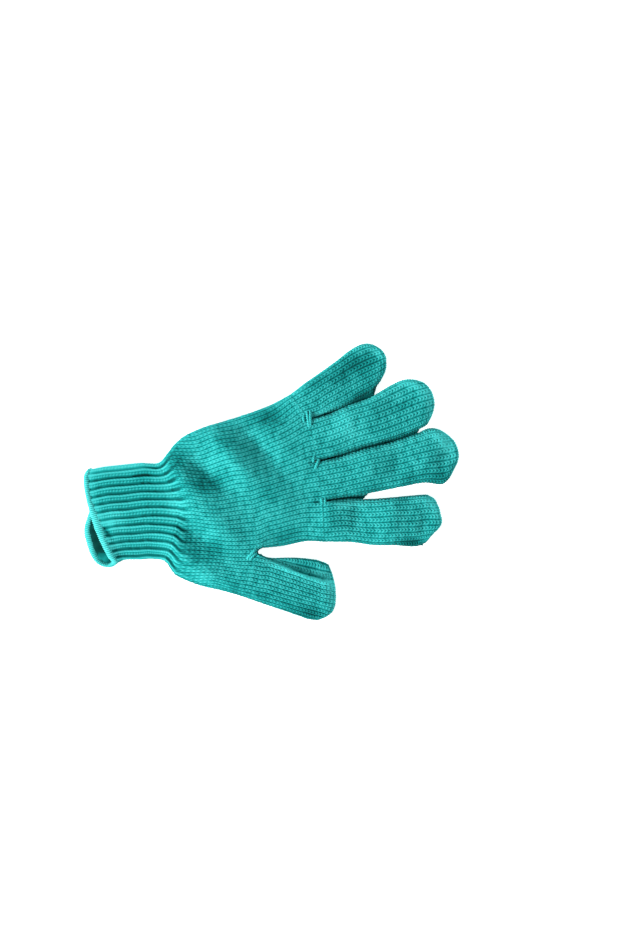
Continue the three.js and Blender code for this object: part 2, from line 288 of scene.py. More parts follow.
LITTLE_FINGER = table("ax ay bx by high", [
    [5, 55, 11, 36, 11],
    [22.6, 61.2, 31.6, 43.8, 12],
    [33, 66.6, 38.8, 44.1, 12],
    [44, 71.7, 48, 46.4, 12],
    [55, 77, 58, 49, 11.5],
    [66, 82.8, 67.5, 51.9, 11],
    [74.5, 85, 76, 54.9, 10.5],
    [81, 83.4, 82, 59.6, 9],
    [85.6, 79.6, 86, 65, 7],
    [87.8, 75.5, 87.6, 69.5, 4.5],
])
RING_FINGER = table("ax ay bx by high", [
    [10, 40, 11, 15.5, 11],
    [31.6, 42.8, 32.3, 16.2, 12.5],
    [45, 44.5, 47.6, 17.3, 12.5],
    [59, 48, 62, 19.5, 12],
    [73, 50.5, 76, 20.6, 12],
    [86.7, 55.7, 89, 22, 11.5],
    [96, 57.9, 99, 24.1, 11],
    [104, 56.4, 106.3, 26.5, 9.5],
    [109.5, 53.2, 110, 31.2, 8],
    [112.4, 48.8, 112.5, 35.4, 6],
    [113.5, 44.2, 113.6, 39.4, 4],
])
MIDDLE_FINGER = table("ax ay bx by high", [
    [11, 14, 10, -10.5, 11],
    [32.2, 15.3, 31.2, -9.5, 12.5],
    [47, 16.4, 46, -10.1, 12.5],
    [64, 18.8, 63, -10.4, 12.5],
    [82, 20, 82, -10.1, 12],
    [98, 22.5, 98, -10.1, 11.5],
    [107, 24.4, 109, -12.9, 10.5],
    [114, 22, 114.6, -9.4, 9],
    [118.9, 17.5, 118.6, -4.4, 7.5],
    [121.7, 13.4, 121.5, -0.6, 6],
    [123.1, 8.9, 123.1, 3.7, 4],
])
INDEX_FINGER = table("ax ay bx by high", [
    [9, -10, 8, -32.5, 11],
    [31, -10.4, 28, -36.2, 12.5],
    [46, -11, 44, -39.2, 12.5],
    [61, -13.6, 59, -43.8, 12],
    [76, -15.2, 73, -46.5, 12],
    [89, -16.2, 85, -49.2, 11.5],
    [99, -17.6, 92.5, -47.8, 10.5],
    [103, -21.3, 98, -43.2, 8.5],
    [104.7, -27, 102.6, -40, 6],
    [105.2, -32, 104.8, -37.4, 4],
])
THUMB = table("ax ay bx by high fold shelf", [
    [-34, -29, -40, -56.3, 15.8, 0, 14],
    [-15.8, -35.3, -28, -62.5, 15, 0.02, 12.5],
    [-8, -39.5, -18, -68.2, 14.3, 0.06, 9.5],
    [4, -41.7, -7, -74.2, 13.2, 0.2, 8],
    [14, -44, 3, -79.8, 12, 0.28, 7.3],
    [22, -46.7, 9.5, -83.4, 11, 0.31, 6.8],
    [28.5, -51, 15, -85, 10.5, 0.28, 5.5],
    [29.9, -58, 20, -84.3, 9, 0.14, 5.5],
    [30.2, -66.5, 24.6, -82.2, 7, 0, 5],
    [29.7, -71.8, 27.6, -78.6, 4.5, 0, 4.5],
])
row_counts = [len(rows["ax"]) for rows in (LITTLE_FINGER, RING_FINGER, MIDDLE_FINGER, INDEX_FINGER, THUMB)]
print("rows of the fingers and the thumb:", row_counts)

# %% [markdown]
# ## Folds and shades
#
# An empty glove never lies smooth: its fabric sinks into hollows and is pushed up into folds. A cloth
# simulation would find folds of its own, but not those of the photograph. So each one is a soft oval
# patch, with a place, a heading in degrees, a length and a width. A fold lowers the top layer by its
# depth, or raises it where the depth is negative. A shade paints light and shade into the wool's tone:
# a positive tone makes it paler, as painted light, and a negative one darker, as painted shade.

# %% Tables of folds and shades
FOLDS = table("x y heading long wide deep", [
    [-38, 21.6, -52, 22.6, 7.4, 5.2],
    [-54.6, 19.7, -58, 14.7, 5.9, -3.1],
    [-20.9, 29.1, -58, 24.1, 7.4, -4.5],
    [-0.8, 29, -56, 24.1, 7.4, 4.2],
    [5, 47.6, 6, 18, 3.6, 4.4],
    [-48.6, -20.4, -51, 15.8, 6.5, 3.6],
    [-63.9, -24.1, -62, 13.1, 6.1, -2.8],
    [-32.9, -14.4, -58, 15.4, 7.9, -2.5],
    [-47.7, -2.8, -41, 11.8, 6.9, -1.5],
    [-44.9, -44.8, -38, 20.7, 6.1, -2.2],
    [-73.5, 22.4, -87, 12.9, 5.7, 1.4],
    [59.7, 65.3, 16, 13.8, 4.5, 1.4],
    [76, 73.5, 20, 21, 12, 4.4],
    [91.8, 48.3, 15, 18, 8, 3],
    [55.3, 37, 49, 11.4, 6.2, -1.1],
    [71.5, 39.8, 57, 11.7, 6.3, -1],
    [82, 4.5, 60, 12, 6, 1.7],
    [63.9, 7.5, 59, 11.4, 6.9, -1.3],
    [102.5, 3.7, 61, 9.2, 6.4, -1],
    [116, 6, 60, 12, 6, 2],
    [33.8, -20, 80, 13.9, 6.2, -2],
    [51.7, -23.3, 77, 12.8, 6.5, 2.2],
    [72.2, -28.5, 75, 14.8, 7.2, -2.6],
    [93.6, -36.9, 72, 12, 5.8, 2.8],
    [86, -46, -8, 12, 3.2, 3.6],
    [12.4, -51.5, -30, 20.1, 3.3, -2],
    [18.5, -81, -30, 11, 6, 3.6],
])
# Painted light and shade: a positive tone paints light into the wool's colour, a negative one paints shade.
PAINTED_LIGHT_AND_SHADE = table("x y heading long wide tone", [
    [63, 71, 18, 16, 6, -4.5],
    [81.9, -45.6, -9, 8.1, 3, -7],
    [3.4, -28.6, -9, 7.3, 4.8, -4.5],
    [9, -78.6, -26, 8.3, 4, -6],
    [-17.6, -63.2, -19, 9, 5, -3.5],
    [-33.9, -54.4, -35, 8, 4.6, -4],
    [5.8, 50.3, 11, 8, 4, -5],
    [107.5, -7.7, 4, 6, 4, -5],
    [91, -5.8, -11, 7.3, 3.7, -3.5],
    [-42.1, -28.9, 0, 7.5, 7, -4.5],
    [-54, -31.1, -71, 6.4, 3.5, -3.5],
    [21.5, -58, -25, 6.8, 3.7, 5],
    [4, -48.6, -28, 11, 3, 5],
    [-102.5, 0.8, -58, 6, 4.5, 3],
    [-104.3, -13.8, -84, 6.3, 4.5, 3],
    [-114.2, -21.5, 0, 4, 3.5, 6],
    [-55.3, 33.5, 73, 7.1, 6, -4],
    [-41.3, 12.3, -20, 7.2, 5.7, -4],
    [-23.4, 38.3, -31, 8, 4, -3],
    [9, 44, -5, 8, 5.5, -3],
    [73, 67.5, 84, 6.8, 5.3, -3],
    [46, 45.6, 12, 16, 2, 6],
    [50, 14.8, 6, 13, 2, 5],
    [49, -14, -3, 9, 2.6, 10],
    [109.5, 39.7, 83, 8, 2.5, 5],
    [100.6, -25.9, -72, 8, 2.5, 5],
    [26.3, -66, 85, 9, 2.5, 5],
    [81.3, 78.2, -45, 7, 2.4, 5],
    [117.5, 8.7, -82, 6.6, 3.9, 5],
    [109.5, 18.4, -30, 7.6, 3.8, 6],
    [103.2, 51.9, -33, 8.1, 2.6, 6],
    [-59.8, 2.5, 71, 6.9, 6.6, 3.5],
    [53.3, 35.7, -80, 7.8, 6.7, 4],
    [94.7, -20, -21, 7.8, 2.7, 4.5],
    [37.1, 43.7, 10, 6, 2.4, 10],
    [65.1, -16.4, -4, 7, 2.4, 4],
    [114.6, 13.9, -70, 7, 3.4, 6],
    [82.7, 17.8, 2, 7, 2.4, 4.5],
    [97.2, 20.2, 5, 7, 2.4, 3.5],
    [-3.4, -43.9, -25, 7, 2.7, 7],
    [73.8, 49.8, 14, 7, 2.4, 3.5],
    [91.4, 54.4, 14, 7, 2.4, 3.5],
    [24.5, -58.9, -70, 6.6, 4, 5],
    [-31.2, 15.2, 5, 7, 5, -3],
    [-0.6, 1.4, 5, 7, 5, -3],
    [-78.5, 26.1, 10, 6, 4, -3],
    [92, 41.1, 14, 7, 3, -3],
    [39.2, 64.3, 18, 7, 3, -3],
    [58, 28.6, 28, 7.5, 5.5, 2.5],
    [12.7, -52.6, -28, 8, 2.4, 2],
    [-0.8, -72.9, -31, 6, 4.2, -3],
    [68.3, 54.5, 25, 6, 2.3, -4],
    [62.4, -7.7, 0, 6, 2.7, -4],
    [-98.3, 1.3, -67, 8, 5, 2.5],
])
print(len(FOLDS["x"]), "folds and", len(PAINTED_LIGHT_AND_SHADE["x"]), "shades")

# %% [markdown]
# ## Curves and sections
#
# A tube of knit that lies empty has a flat top, full round sides and a lower layer that rests on the
# table. Its section could be drawn anew in each row, but one formula serves for all of them, so a row
# need only say where its edges are and how high it stands. A smooth curve through the rows carries the
# section along the tube. It is a centripetal one, because that kind makes no loops where rows stand
# unevenly.

# %% Curves through rows
def through(points, at):
    """A smooth curve through points, read at places counted in points.

    Each place may have points of its own, as each column of a grid does."""
    points = np.asarray(points, float)
    at = np.asarray(at, float)
    if points.ndim == 2:
        shared = points.reshape(len(points), *[1] * at.ndim, -1)
        points = np.broadcast_to(shared, (len(points), *at.shape, points.shape[1]))
    last = len(points) - 1
    first = np.clip(np.floor(at).astype(int), 0, last - 1)
    padded = np.concatenate([[2 * points[0] - points[1]], points, [2 * points[-1] - points[-2]]])
    pick = lambda k: np.take_along_axis(padded, (first + k)[None, ..., None], axis=0)[0]
    p0, p1, p2, p3 = (pick(k) for k in range(4))
    gap = lambda a, b: np.maximum(np.linalg.norm(b - a, axis=-1, keepdims=True), 1e-6) ** 0.5
    d0, d1, d2 = gap(p0, p1), gap(p1, p2), gap(p2, p3)
    leave = ((p1 - p0) / d0 - (p2 - p0) / (d0 + d1) + (p2 - p1) / d1) * d1
    reach = ((p2 - p1) / d1 - (p3 - p1) / (d1 + d2) + (p3 - p2) / d2) * d1
    t = (at - first)[..., None]
    return (
        p1 * (2 * t**3 - 3 * t**2 + 1) + leave * (t**3 - 2 * t**2 + t)
        + p2 * (3 * t**2 - 2 * t**3) + reach * (t**3 - t**2)
    )


def along(line):
    """How far along a line each of its points lies, from 0 at the start to 1 at the end, and its length."""
    steps = np.linalg.norm(np.diff(line, axis=-2), axis=-1)
    total = np.concatenate([np.zeros((*steps.shape[:-1], 1)), np.cumsum(steps, axis=-1)], axis=-1)
    return total / total[..., -1:], total[..., -1]


def read_along(line, share, at):
    """Places on a line whose own points lie at the given shares of its length."""
    return np.stack([np.interp(at, share, line[:, k]) for k in range(line.shape[1])], -1)


def unit(directions):
    return directions / np.linalg.norm(directions, axis=-1, keepdims=True)


def raised(plan, z):
    """Places in plan, each lifted to its height."""
    return np.concatenate([plan, z[..., None]], -1)


def lerp(a, b, share):
    return a + (b - a) * share


def smoothstep(x, low=0.0, high=1.0):
    t = np.clip((x - low) / (high - low), 0, 1)
    return t * t * (3 - 2 * t)


print("a curve rounds a corner at", np.round(through([[0, 0], [1, 0], [1, 1]], [0.9, 1.1]), 3).tolist())

# %% The section of a flattened tube
EDGE_SHARE = 0.38  # height of a section's widest place, as a share of its whole height
SIDE_POWER = 2.564  # how full the sides of a section are
CROWN = 0.425  # how round the top of a section is: the lower, the flatter
UNDERSIDE = 1.7  # how soon the fabric reaches the table, coming in from the side
BRIDGE_FROM = 0.3  # share of the way from the middle to an edge where a bridge starts to lift the fabric


def crown_at(across):
    """Height of the top layer between its edge (across 1) and its middle (0), as a share."""
    return (1 - np.clip(np.abs(across), 0, 1) ** SIDE_POWER) ** CROWN


def tuck_at(across):
    """How far the bottom layer has come down to the table, as a share."""
    return np.minimum(1, UNDERSIDE * np.sqrt(1 - np.clip(np.abs(across), 0, 1) ** SIDE_POWER))


def edge_at(high, share, bridges, near):
    """Height where a tube's two layers meet, lifted near a crotch to the bridge on each side (0 for none)."""
    edge = EDGE_SHARE * high
    bridge = np.where(share < 0.5, *bridges)
    return edge + np.maximum(bridge - edge, 0) * near * smoothstep(np.abs(2 * share - 1), BRIDGE_FROM, 1)


def patches_at(patches, points):
    """The sum of soft oval patches, each with a place, a heading, a length, a width and a strength."""
    x, y = points[..., 0], points[..., 1]
    total = np.zeros_like(x)
    for px, py, heading, long, wide, strength in zip(*patches.values()):
        c, s = math.cos(math.radians(heading)), math.sin(math.radians(heading))
        dx, dy = x - px, y - py
        total += strength * np.exp(-(((dx * c + dy * s) / long) ** 2) - ((dy * c - dx * s) / wide) ** 2)
    return total


print("crown at the middle and near the edge:", crown_at(0.0), round(float(crown_at(0.9)), 2))

# %% [markdown]
# ## A finger's form
#
# A knitted finger is a tube whose wales (the columns of stitches) run straight to the tip and over it,
# like the toe of a sock. A lofted tube would draw them together at a pole, which no glove does. So the
# rows bend forward near the tip until the last one lies on the outline, where the top and the bottom
# layers meet. At the root the edges rise to the fabric that bridges two fingers, and beyond it a finger's
# lower side leans under its neighbour, so that the slit between them stays shut. The thumb is folded
# lengthwise: a strip along its edge a lies lower than the rest.

# %% A finger in plan
COURSE = 2.27  # one row of stitches, along the wale
LEAN_UNDER = 2.2  # how far a finger's lower side goes under its neighbour's, in mm
BEND = 1.2  # how late the rows bend forward
ROW_STEPS = 60  # steps from row to row, where a finger's length is measured


class FingerPlan:
    """Places on a finger as seen from above, by course from the root and by share of the way from a to b.

    Rows start to bend forward at the row bend_from, and the front of the outline starts at corner."""

    def __init__(self, rows, corner, bend_from, neighbour=None, touch_to=0):
        self.rows, self.corner, self.bend_from = rows, corner, bend_from
        self.lines = np.stack([rows[k] for k in ("ax", "ay", "bx", "by", "high")], axis=-1)
        front = np.concatenate([self.lines[corner:, :2], self.lines[corner:, 2:4][::-1]])
        self.front = through(front, np.linspace(0, len(front) - 1, 200))
        self.front_share = along(self.front)[0]
        self.fine = np.linspace(0, corner, ROW_STEPS * corner + 1)
        middle = self.plan_at(self.fine, np.full_like(self.fine, 0.5))
        steps = np.concatenate([[0], np.cumsum(np.linalg.norm(np.diff(middle, axis=0), axis=-1))])
        self.from_root = steps - np.interp(1, self.fine, steps)
        self.length = self.from_root[-1]
        self.courses = round(self.length / COURSE)
        self.lean = np.zeros(self.courses + 1)
        if neighbour:
            near = 1 - smoothstep(np.arange(self.courses + 1), touch_to - 2, touch_to + 1)
            self.lean = self.gaps_to(neighbour) * near

    def gaps_to(self, neighbour):
        """How far edge b lies from the neighbour's edge a at each course, and a little more."""
        edge = through(self.lines[:, 2:4], self.row_at(np.arange(self.courses + 1.0)))
        other = through(neighbour.lines[:, :2], np.linspace(0, len(neighbour.lines) - 1, 400))
        return np.linalg.norm(edge[:, None] - other[None], axis=-1).min(axis=1) + LEAN_UNDER

    def plan_at(self, row, share):
        """The place in plan. Towards the tip the rows bend forward onto the front of the outline."""
        edges = through(self.lines[:, :4], row)
        plain = lerp(edges[..., :2], edges[..., 2:], share[..., None])
        front = read_along(self.front, self.front_share, share)
        start, end = self.lines[self.corner, :2], self.lines[self.corner, 2:4]
        bulge = front - lerp(start, end, share[..., None])
        bend = np.clip((row - self.bend_from) / (self.corner - self.bend_from), 0, 1) ** BEND
        return plain + bulge * bend[..., None]

    def row_at(self, course):
        return np.interp(course / self.courses * self.length, self.from_root, self.fine)

    def fold_share(self, course):
        """Where the thumb's fold lies, as a share of the way from a to b."""
        row = self.row_at(np.clip(course, 0, self.courses))
        return np.interp(row, np.arange(len(self.lines)), self.rows["fold"])

    def lean_at(self, course):
        return np.interp(course, np.arange(self.courses + 1), self.lean)


print("courses along the index finger:", FingerPlan(INDEX_FINGER, 6, 4).courses)

# %% A finger's two layers
TIP_ROUND = 8.5  # how far from the tip the top layer starts to come down
TIP_HIGH = 0.8  # height left at the tip, as a share
BRIDGE = 9.5  # height of the fabric that bridges two fingers, at their roots
THUMB_BRIDGE = 13.5
BRIDGE_COURSES = 7  # courses over which a finger's edge comes down from the bridge
FOLD_HALF = 0.018  # half the width of the thumb's fold, from its shelf to its ridge, as a share


class FingerForm(FingerPlan):
    """Places on a finger's top and bottom layers."""

    def __init__(self, rows, corner, bend_from, bridges, neighbour=None, touch_to=0):
        super().__init__(rows, corner, bend_from, neighbour, touch_to)
        self.bridges = bridges

    def parts(self, course, share):
        """What both layers need: the row, the place in plan, how near the tip is (1 at it) and the height."""
        row = self.row_at(course)
        plan = self.plan_at(row, share)
        left = (1 - course / self.courses) * self.length
        end = np.clip(1 - left / TIP_ROUND, 0, 1)
        rows = np.arange(len(self.lines))
        high = np.interp(np.minimum(row, self.corner - 1), rows, self.lines[:, 4]) * lerp(1, TIP_HIGH, end)
        return row, plan, end, high

    def edge_high(self, course, share, high):
        return edge_at(high, share, self.bridges, 1 - smoothstep(course, 0, BRIDGE_COURSES))

    def top(self, course, share):
        row, plan, end, high = self.parts(course, share)
        edge = self.edge_high(course, share, high)
        z = edge + (high - edge) * crown_at(1 - 2 * share) * crown_at(end)
        if "fold" in self.rows:
            rows = np.arange(len(self.lines))
            fold = np.interp(row, rows, self.rows["fold"])
            shelf = np.interp(row, rows, self.rows["shelf"])
            lid = lerp(shelf, high, smoothstep(share, fold - FOLD_HALF, fold + FOLD_HALF))
            z = np.minimum(z, lerp(lid, edge, end**3))
        z = z - patches_at(FOLDS, plan) * z / high * (1 - end**2)
        return raised(plan, z)

    def bottom(self, course, share):
        row, plan, end, high = self.parts(course, share)
        tuck = tuck_at(1 - 2 * share)
        z = self.edge_high(course, share, high) * (1 - tuck * np.sqrt(1 - end**SIDE_POWER))
        edges = through(self.lines[:, :4], row)
        towards = unit(edges[..., 2:] - edges[..., :2])
        sinking = smoothstep(tuck, 0, 0.7) * smoothstep(share, 0.5, 0.9)
        lean = self.lean_at(course) * sinking
        return raised(plan + towards * lean[..., None], z)

index_form = FingerForm(INDEX_FINGER, 6, 4, (BRIDGE, 0))
middle_form = FingerForm(MIDDLE_FINGER, 7, 4, (BRIDGE, BRIDGE), index_form, touch_to=12.8)
ring_form = FingerForm(RING_FINGER, 7, 4, (BRIDGE, BRIDGE), middle_form, touch_to=33)
little_form = FingerForm(LITTLE_FINGER, 7, 4, (0, BRIDGE), ring_form, touch_to=25)
thumb_form = FingerForm(THUMB, 6, 3, (THUMB_BRIDGE, 0))
for form in (little_form, ring_form, middle_form, index_form, thumb_form):
    print("finger", round(form.length, 1), "mm long,", form.courses, "courses")

# %% [markdown]
# ## The hand's form
#
# The palm's wales run on into the fingers, and the thumb's grow out of its side. Four lines along the
# hand carry its rows: its outline on the little-finger side (a), its middle (m), the wale that ends at
# the thumb's crotch (k), and its outline on the thumb side (b). Two lines would do for a plain tube, but
# not for wales that spread round the ball of the thumb. Towards the roots the top layer parts into the
# fingers' own rounded tops.

# %% Tables of the hand
TO_THUMB = 21  # courses from the wrist to the thumb's root
TO_FINGERS = 41
HAND = table("course ax ay mx my kx ky bx by high", [
    [-6, -80, 34.8, -77.8, 3.3, -80.7, -18.5, -83, -28.2, 12],
    [0, -67.5, 33, -61.4, 1, -69.8, -22.6, -75.3, -30.9, 12.5],
    [2.5, -62.6, 36.8, -55.7, 2, -62, -24.5, -70.5, -40, 13.5],
    [5.5, -56.2, 42.6, -48.9, 3.5, -52.4, -26.6, -61.3, -46.6, 15],
    [9, -48, 47, -41, 5, -42.7, -29.4, -52, -51.3, 16],
    [13, -37.5, 49.7, -31.9, 7, -33.5, -32.2, -44, -54.6, 16],
    [17, -26.5, 51.2, -22.8, 8.5, -24.8, -34, -36, -58.3, 16],
    [21, -16, 52.4, -13.7, 9.5, -15.9, -34.9, -28, -62.5, 15.5],
    [23, -11.6, 53, -9.2, 9.9, -11.5, -35.2, -24, -64.8, 15.4],
    [28.5, 0.5, 54.9, 3.4, 11, 1.5, -34.8, -13, -71, 15],
    [35, 12.6, 57.7, 18.2, 12.5, 15.5, -33.7, -2, -77, 13.8],
    [41, 22.6, 61.2, 32, 13, 28, -36.2, 6, -81, 12.5],
])
# How far the outline bulges up past the thumb's crotch, which is round
CROTCH_ROUND = table("course up", [[21, 0], [22, 1.5], [23, 2.4], [25, 1.8], [28.5, 0.8], [33, 0]])
OUTLINE_FROM = 0.93  # share of the width past which the outline bulges up, round the thumb's crotch
ROOT_ROWS = [  # a finger's second row lies at its root
    {name: column[1] for name, column in rows.items()}
    for rows in (LITTLE_FINGER, RING_FINGER, MIDDLE_FINGER, INDEX_FINGER)
]
ROOT_A, ROOT_B = (np.array([(root[k + "x"], root[k + "y"]) for root in ROOT_ROWS]) for k in "ab")
ROOTS = np.concatenate([ROOT_A[:1], (ROOT_B[:-1] + ROOT_A[1:]) / 2, ROOT_B[-1:]])  # the joins lie halfway
ROOT_HIGHS = [root["high"] for root in ROOT_ROWS]
THUMB_ROOT_HIGHS = [15.5, THUMB["high"][1]]  # of the palm and of the thumb
ROOT_WALES = [0, 7, 15, 23, 31]
THUMB_WALES = 12
FILL_FROM = 12  # courses before a root where the hand starts to fill out to the tubes that it parts into
PART_FROM = 3  # courses before a root where their rounded tops start to show
print("rows of the hand:", len(HAND["course"]))

# %% The hand in plan
LINE_STEPS = 60  # steps across the hand between each two of its four lines
GRID_COLUMNS = 120
GRID_STEP = 0.5  # courses from row to row of a grid


def hand_row(course):
    """Where a course lies among the rows of the HAND table."""
    return np.interp(course, HAND["course"], np.arange(len(HAND["course"])))


class HandPlan:
    """Places on the hand as seen from above, by course and by share of the way from edge a to edge b.

    The lower form reaches from the wrist to the thumb's root and holds the thumb's base, and the upper
    one goes on from there to the fingers."""

    def __init__(self, upper):
        self.upper = upper
        self.lines = [np.stack([HAND[p + "x"], HAND[p + "y"]], -1) for p in "amkb"]
        first, self.courses = (TO_THUMB, TO_FINGERS) if upper else (0, TO_THUMB)
        self.fine = np.linspace(0, 1, GRID_COLUMNS + 1)
        self.grid_courses = np.arange(first - 2, self.courses + 2 + GRID_STEP / 2, GRID_STEP)
        self.grid = self.plain_rows(self.grid_courses)
        if upper:
            self.fit_to_fingers()
        else:
            self.joins = (0, self.crotch_share(TO_THUMB), 1)

    def fit_to_fingers(self):
        """Brings the last rows to the fingers' roots and rounds the outline at the thumb's crotch."""
        self.joins = along(ROOTS)[0]
        at_roots = read_along(ROOTS, self.joins, self.fine)
        last = self.plain_rows(np.array([float(TO_FINGERS)]))[0]
        ramp = smoothstep(self.grid_courses, TO_FINGERS - FILL_FROM, TO_FINGERS)
        self.grid = self.grid + (at_roots - last) * ramp[:, None, None]
        up = np.interp(self.grid_courses, *CROTCH_ROUND.values())
        self.grid[..., 1] += up[:, None] * smoothstep(self.fine, OUTLINE_FROM, 1)

    def across(self, courses):
        """Lines right across the lower form, through its four lines along the hand."""
        points = np.stack([through(line, hand_row(courses)) for line in self.lines])
        at = np.linspace(0, 3, 3 * LINE_STEPS + 1)
        at = np.broadcast_to(at, (len(courses), len(at)))
        return through(np.repeat(points[:, :, None], at.shape[1], axis=2), at)

    def plain_rows(self, courses):
        """Lines across the hand, with evenly spaced points. Those of the upper form end at the thumb."""
        across = self.across(courses)[:, : (2 if self.upper else 3) * LINE_STEPS + 1]
        return np.array([read_along(line, along(line)[0], self.fine) for line in across])

    def plan(self, course, share):
        """The place in plan, read between the points of the grid."""
        row = np.clip((course - self.grid_courses[0]) / GRID_STEP, 0, len(self.grid_courses) - 1.001)
        column = np.clip(share * GRID_COLUMNS, 0, GRID_COLUMNS - 0.001)
        r, c = row.astype(int), column.astype(int)
        ahead, across = (row - r)[..., None], (column - c)[..., None]
        here = lerp(self.grid[r, c], self.grid[r, c + 1], across)
        there = lerp(self.grid[r + 1, c], self.grid[r + 1, c + 1], across)
        return lerp(here, there, ahead)

    def crotch_share(self, course):
        """Where the wale of the thumb's crotch lies in a row of the lower form."""
        return along(self.across(np.array([float(course)])))[0][0, 2 * LINE_STEPS]


wrist_middle = HandPlan(False).plan(np.array(0.0), np.array(0.5))
print("the wrist's middle is at", np.round(wrist_middle, 1).tolist())

# %% The hand's two layers
def lobes(share, joins, highs, bridge):
    """The rounded tops of tubes that lie side by side between joins, with the fabric that bridges them."""
    z = np.zeros_like(share)
    last = len(highs) - 1
    for n, high in enumerate(highs):
        left, right = joins[n], joins[n + 1]
        place = np.clip((share - left) / (right - left), 0, 1)
        edge = edge_at(high, place, (bridge if n > 0 else 0, bridge if n < last else 0), 1)
        lobe = edge + (high - edge) * crown_at(2 * place - 1)
        z = np.where((share >= left) & (share <= right), lobe, z)
    return z


class HandForm(HandPlan):
    """Places on the hand's top and bottom layers."""

    def high(self, course):
        return through(np.stack([HAND["course"], HAND["high"]], -1), hand_row(course))[..., 1]

    def edge_high(self, course, share, high):
        near = 1 - smoothstep(course, TO_THUMB, TO_THUMB + BRIDGE_COURSES)
        return edge_at(high, share, (0, THUMB_BRIDGE if self.upper else 0), near)

    def top(self, course, share):
        plan = self.plan(course, share)
        high = self.high(course)
        edge = self.edge_high(course, share, high)
        z = edge + (high - edge) * crown_at(1 - 2 * share)
        if self.upper:
            highs, bridge, part_from = ROOT_HIGHS, BRIDGE, PART_FROM
        else:
            highs, bridge, part_from = THUMB_ROOT_HIGHS, THUMB_BRIDGE, 2 * PART_FROM
        filled = lobes(share, self.joins, highs, max(highs))
        parted = lobes(share, self.joins, highs, bridge)
        z = lerp(z, filled, smoothstep(course, self.courses - FILL_FROM, self.courses))
        z = lerp(z, parted, smoothstep(course, self.courses - part_from, self.courses))
        z = z - patches_at(FOLDS, plan) * z / high
        return raised(plan, z)

    def bottom(self, course, share):
        plan = self.plan(course, share)
        outer = np.clip(np.minimum(share / self.joins[1], (1 - share) / (1 - self.joins[-2])), 0, 0.5)
        near = smoothstep(course, self.courses - FILL_FROM, self.courses)
        tuck = lerp(tuck_at(1 - 2 * share), tuck_at(1 - 2 * outer), near)
        z = self.edge_high(course, share, self.high(course)) * (1 - tuck)
        return raised(plan, z)


lower_form, upper_form = HandForm(False), HandForm(True)
crotch_shares = [round(float(lower_form.crotch_share(course)), 2) for course in (0, 10, TO_THUMB)]
print("thumb's crotch at shares", crotch_shares)

# %% [markdown]
# ## Laying the wales
#
# Wales are counted round each tube, from the little-finger side over the top and back underneath. Between
# its two edges a layer holds its wales evenly, measured along the fabric and not in plan, so the steep
# sides get their share. Near a root the count is pinned to that of the fabric before it, so that every
# wale runs on unbroken.

# %% Laying wales round a tube
TURN = np.linspace(0, math.pi, 161)
DENSE = (1 - np.sign(np.cos(TURN)) * np.abs(np.cos(TURN)) ** 0.78) / 2
SETTLE = 9  # courses over which wales spread evenly, past a root


def widths(layer, courses):
    """How far across the fabric each dense share lies, from 0 at edge a to 1 at edge b, for each course."""
    share = np.broadcast_to(DENSE, (len(courses), len(DENSE)))
    return along(layer(np.broadcast_to(courses[:, None], share.shape), share))[0]


def fraction_of(layer, course, shares):
    return np.interp(shares, DENSE, widths(layer, np.array([float(course)]))[0])


class Lattice:
    """Where each wale of a tube lies: from 0 to 1 over the top, from edge a to edge b, and to 2 underneath.

    edges gives the wale numbers at the two edges in a course. A pin is (course, reach, wales, fractions): it
    holds wales at fractions of the top layer in that course, and lets go of them over reach courses."""

    def __init__(self, form, first, last, total, edges, pins):
        self.form, self.total = form, total
        self.courses = np.arange(first - 2, last + 2 + GRID_STEP / 2, GRID_STEP)
        self.edges = [edges(c) for c in self.courses]
        self.pins = pins
        self.top_widths = widths(form.top, self.courses)
        self.bottom_widths = widths(form.bottom, self.courses)

    def way(self, wale):
        """The way round at each course of the lattice, for an array of wale numbers."""
        ways = []
        for n, (course, (a, b)) in enumerate(zip(self.courses, self.edges)):
            past = (wale - a) % self.total
            over = past <= b - a
            fraction = past / (b - a)
            for pin_course, reach, numbers, fractions in self.pins:
                near = 1 - smoothstep(abs(course - pin_course), 0, reach)
                values = fractions(course) if callable(fractions) else fractions
                fraction = lerp(fraction, np.interp(past + a, [a, *numbers, b], [0, *values, 1]), near)
            back = (past - (b - a)) / (self.total - (b - a))
            top = np.interp(fraction, self.top_widths[n], DENSE)
            bottom = np.interp(1 - back, self.bottom_widths[n], DENSE)
            ways.append(np.where(over, top, 2 - bottom))
        return np.unwrap(np.array(ways), period=2, axis=0)

    def points(self, wale, course):
        """Points for columns of wales (a row of numbers) at courses (rows by columns)."""
        ways = self.way(wale)
        at = np.clip((course - self.courses[0]) / GRID_STEP, 0, len(self.courses) - 1.001)
        low = at.astype(int)
        columns = np.arange(len(wale))[None, :]
        way = lerp(ways[low, columns], ways[low + 1, columns], at - low) % 2
        over = way <= 1
        share = np.where(over, way, 2 - way)
        top, bottom = self.form.top(course, share), self.form.bottom(course, share)
        return np.where(over[..., None], top, bottom), way


print("a section is read at", len(DENSE), "places")

# %% [markdown]
# ## Stitches
#
# Plain knit is a field of V's: each stitch has two legs that climb towards the fingertips and meet in the
# middle of the wale. Between two wales runs an unbroken dark line, and inside each V there is a hole.
# Each stitch could be a bent tube of yarn, which is too heavy for thousands of them, or a texture, which
# is flat when seen from the side. Here they are relief in one skin. Its rows of points follow the legs,
# so that few faces show them: eight points across a wale and four or five along a course.

# %% The relief of plain knit
ACROSS = 8  # points across a wale
SLANT = 0.75  # courses that a leg climbs, from the side of its wale to the middle
KNIT_DEEP = 0.75
BORDER_WIDE = 0.27  # of the dark line between wales, and of a hole, as shares of half a wale
HOLE_WIDE = 0.36
UNEVEN = 0.12  # how far stitches lie deeper or higher than their mean, in mm
FULL_DEEP = KNIT_DEEP + 2 * UNEVEN


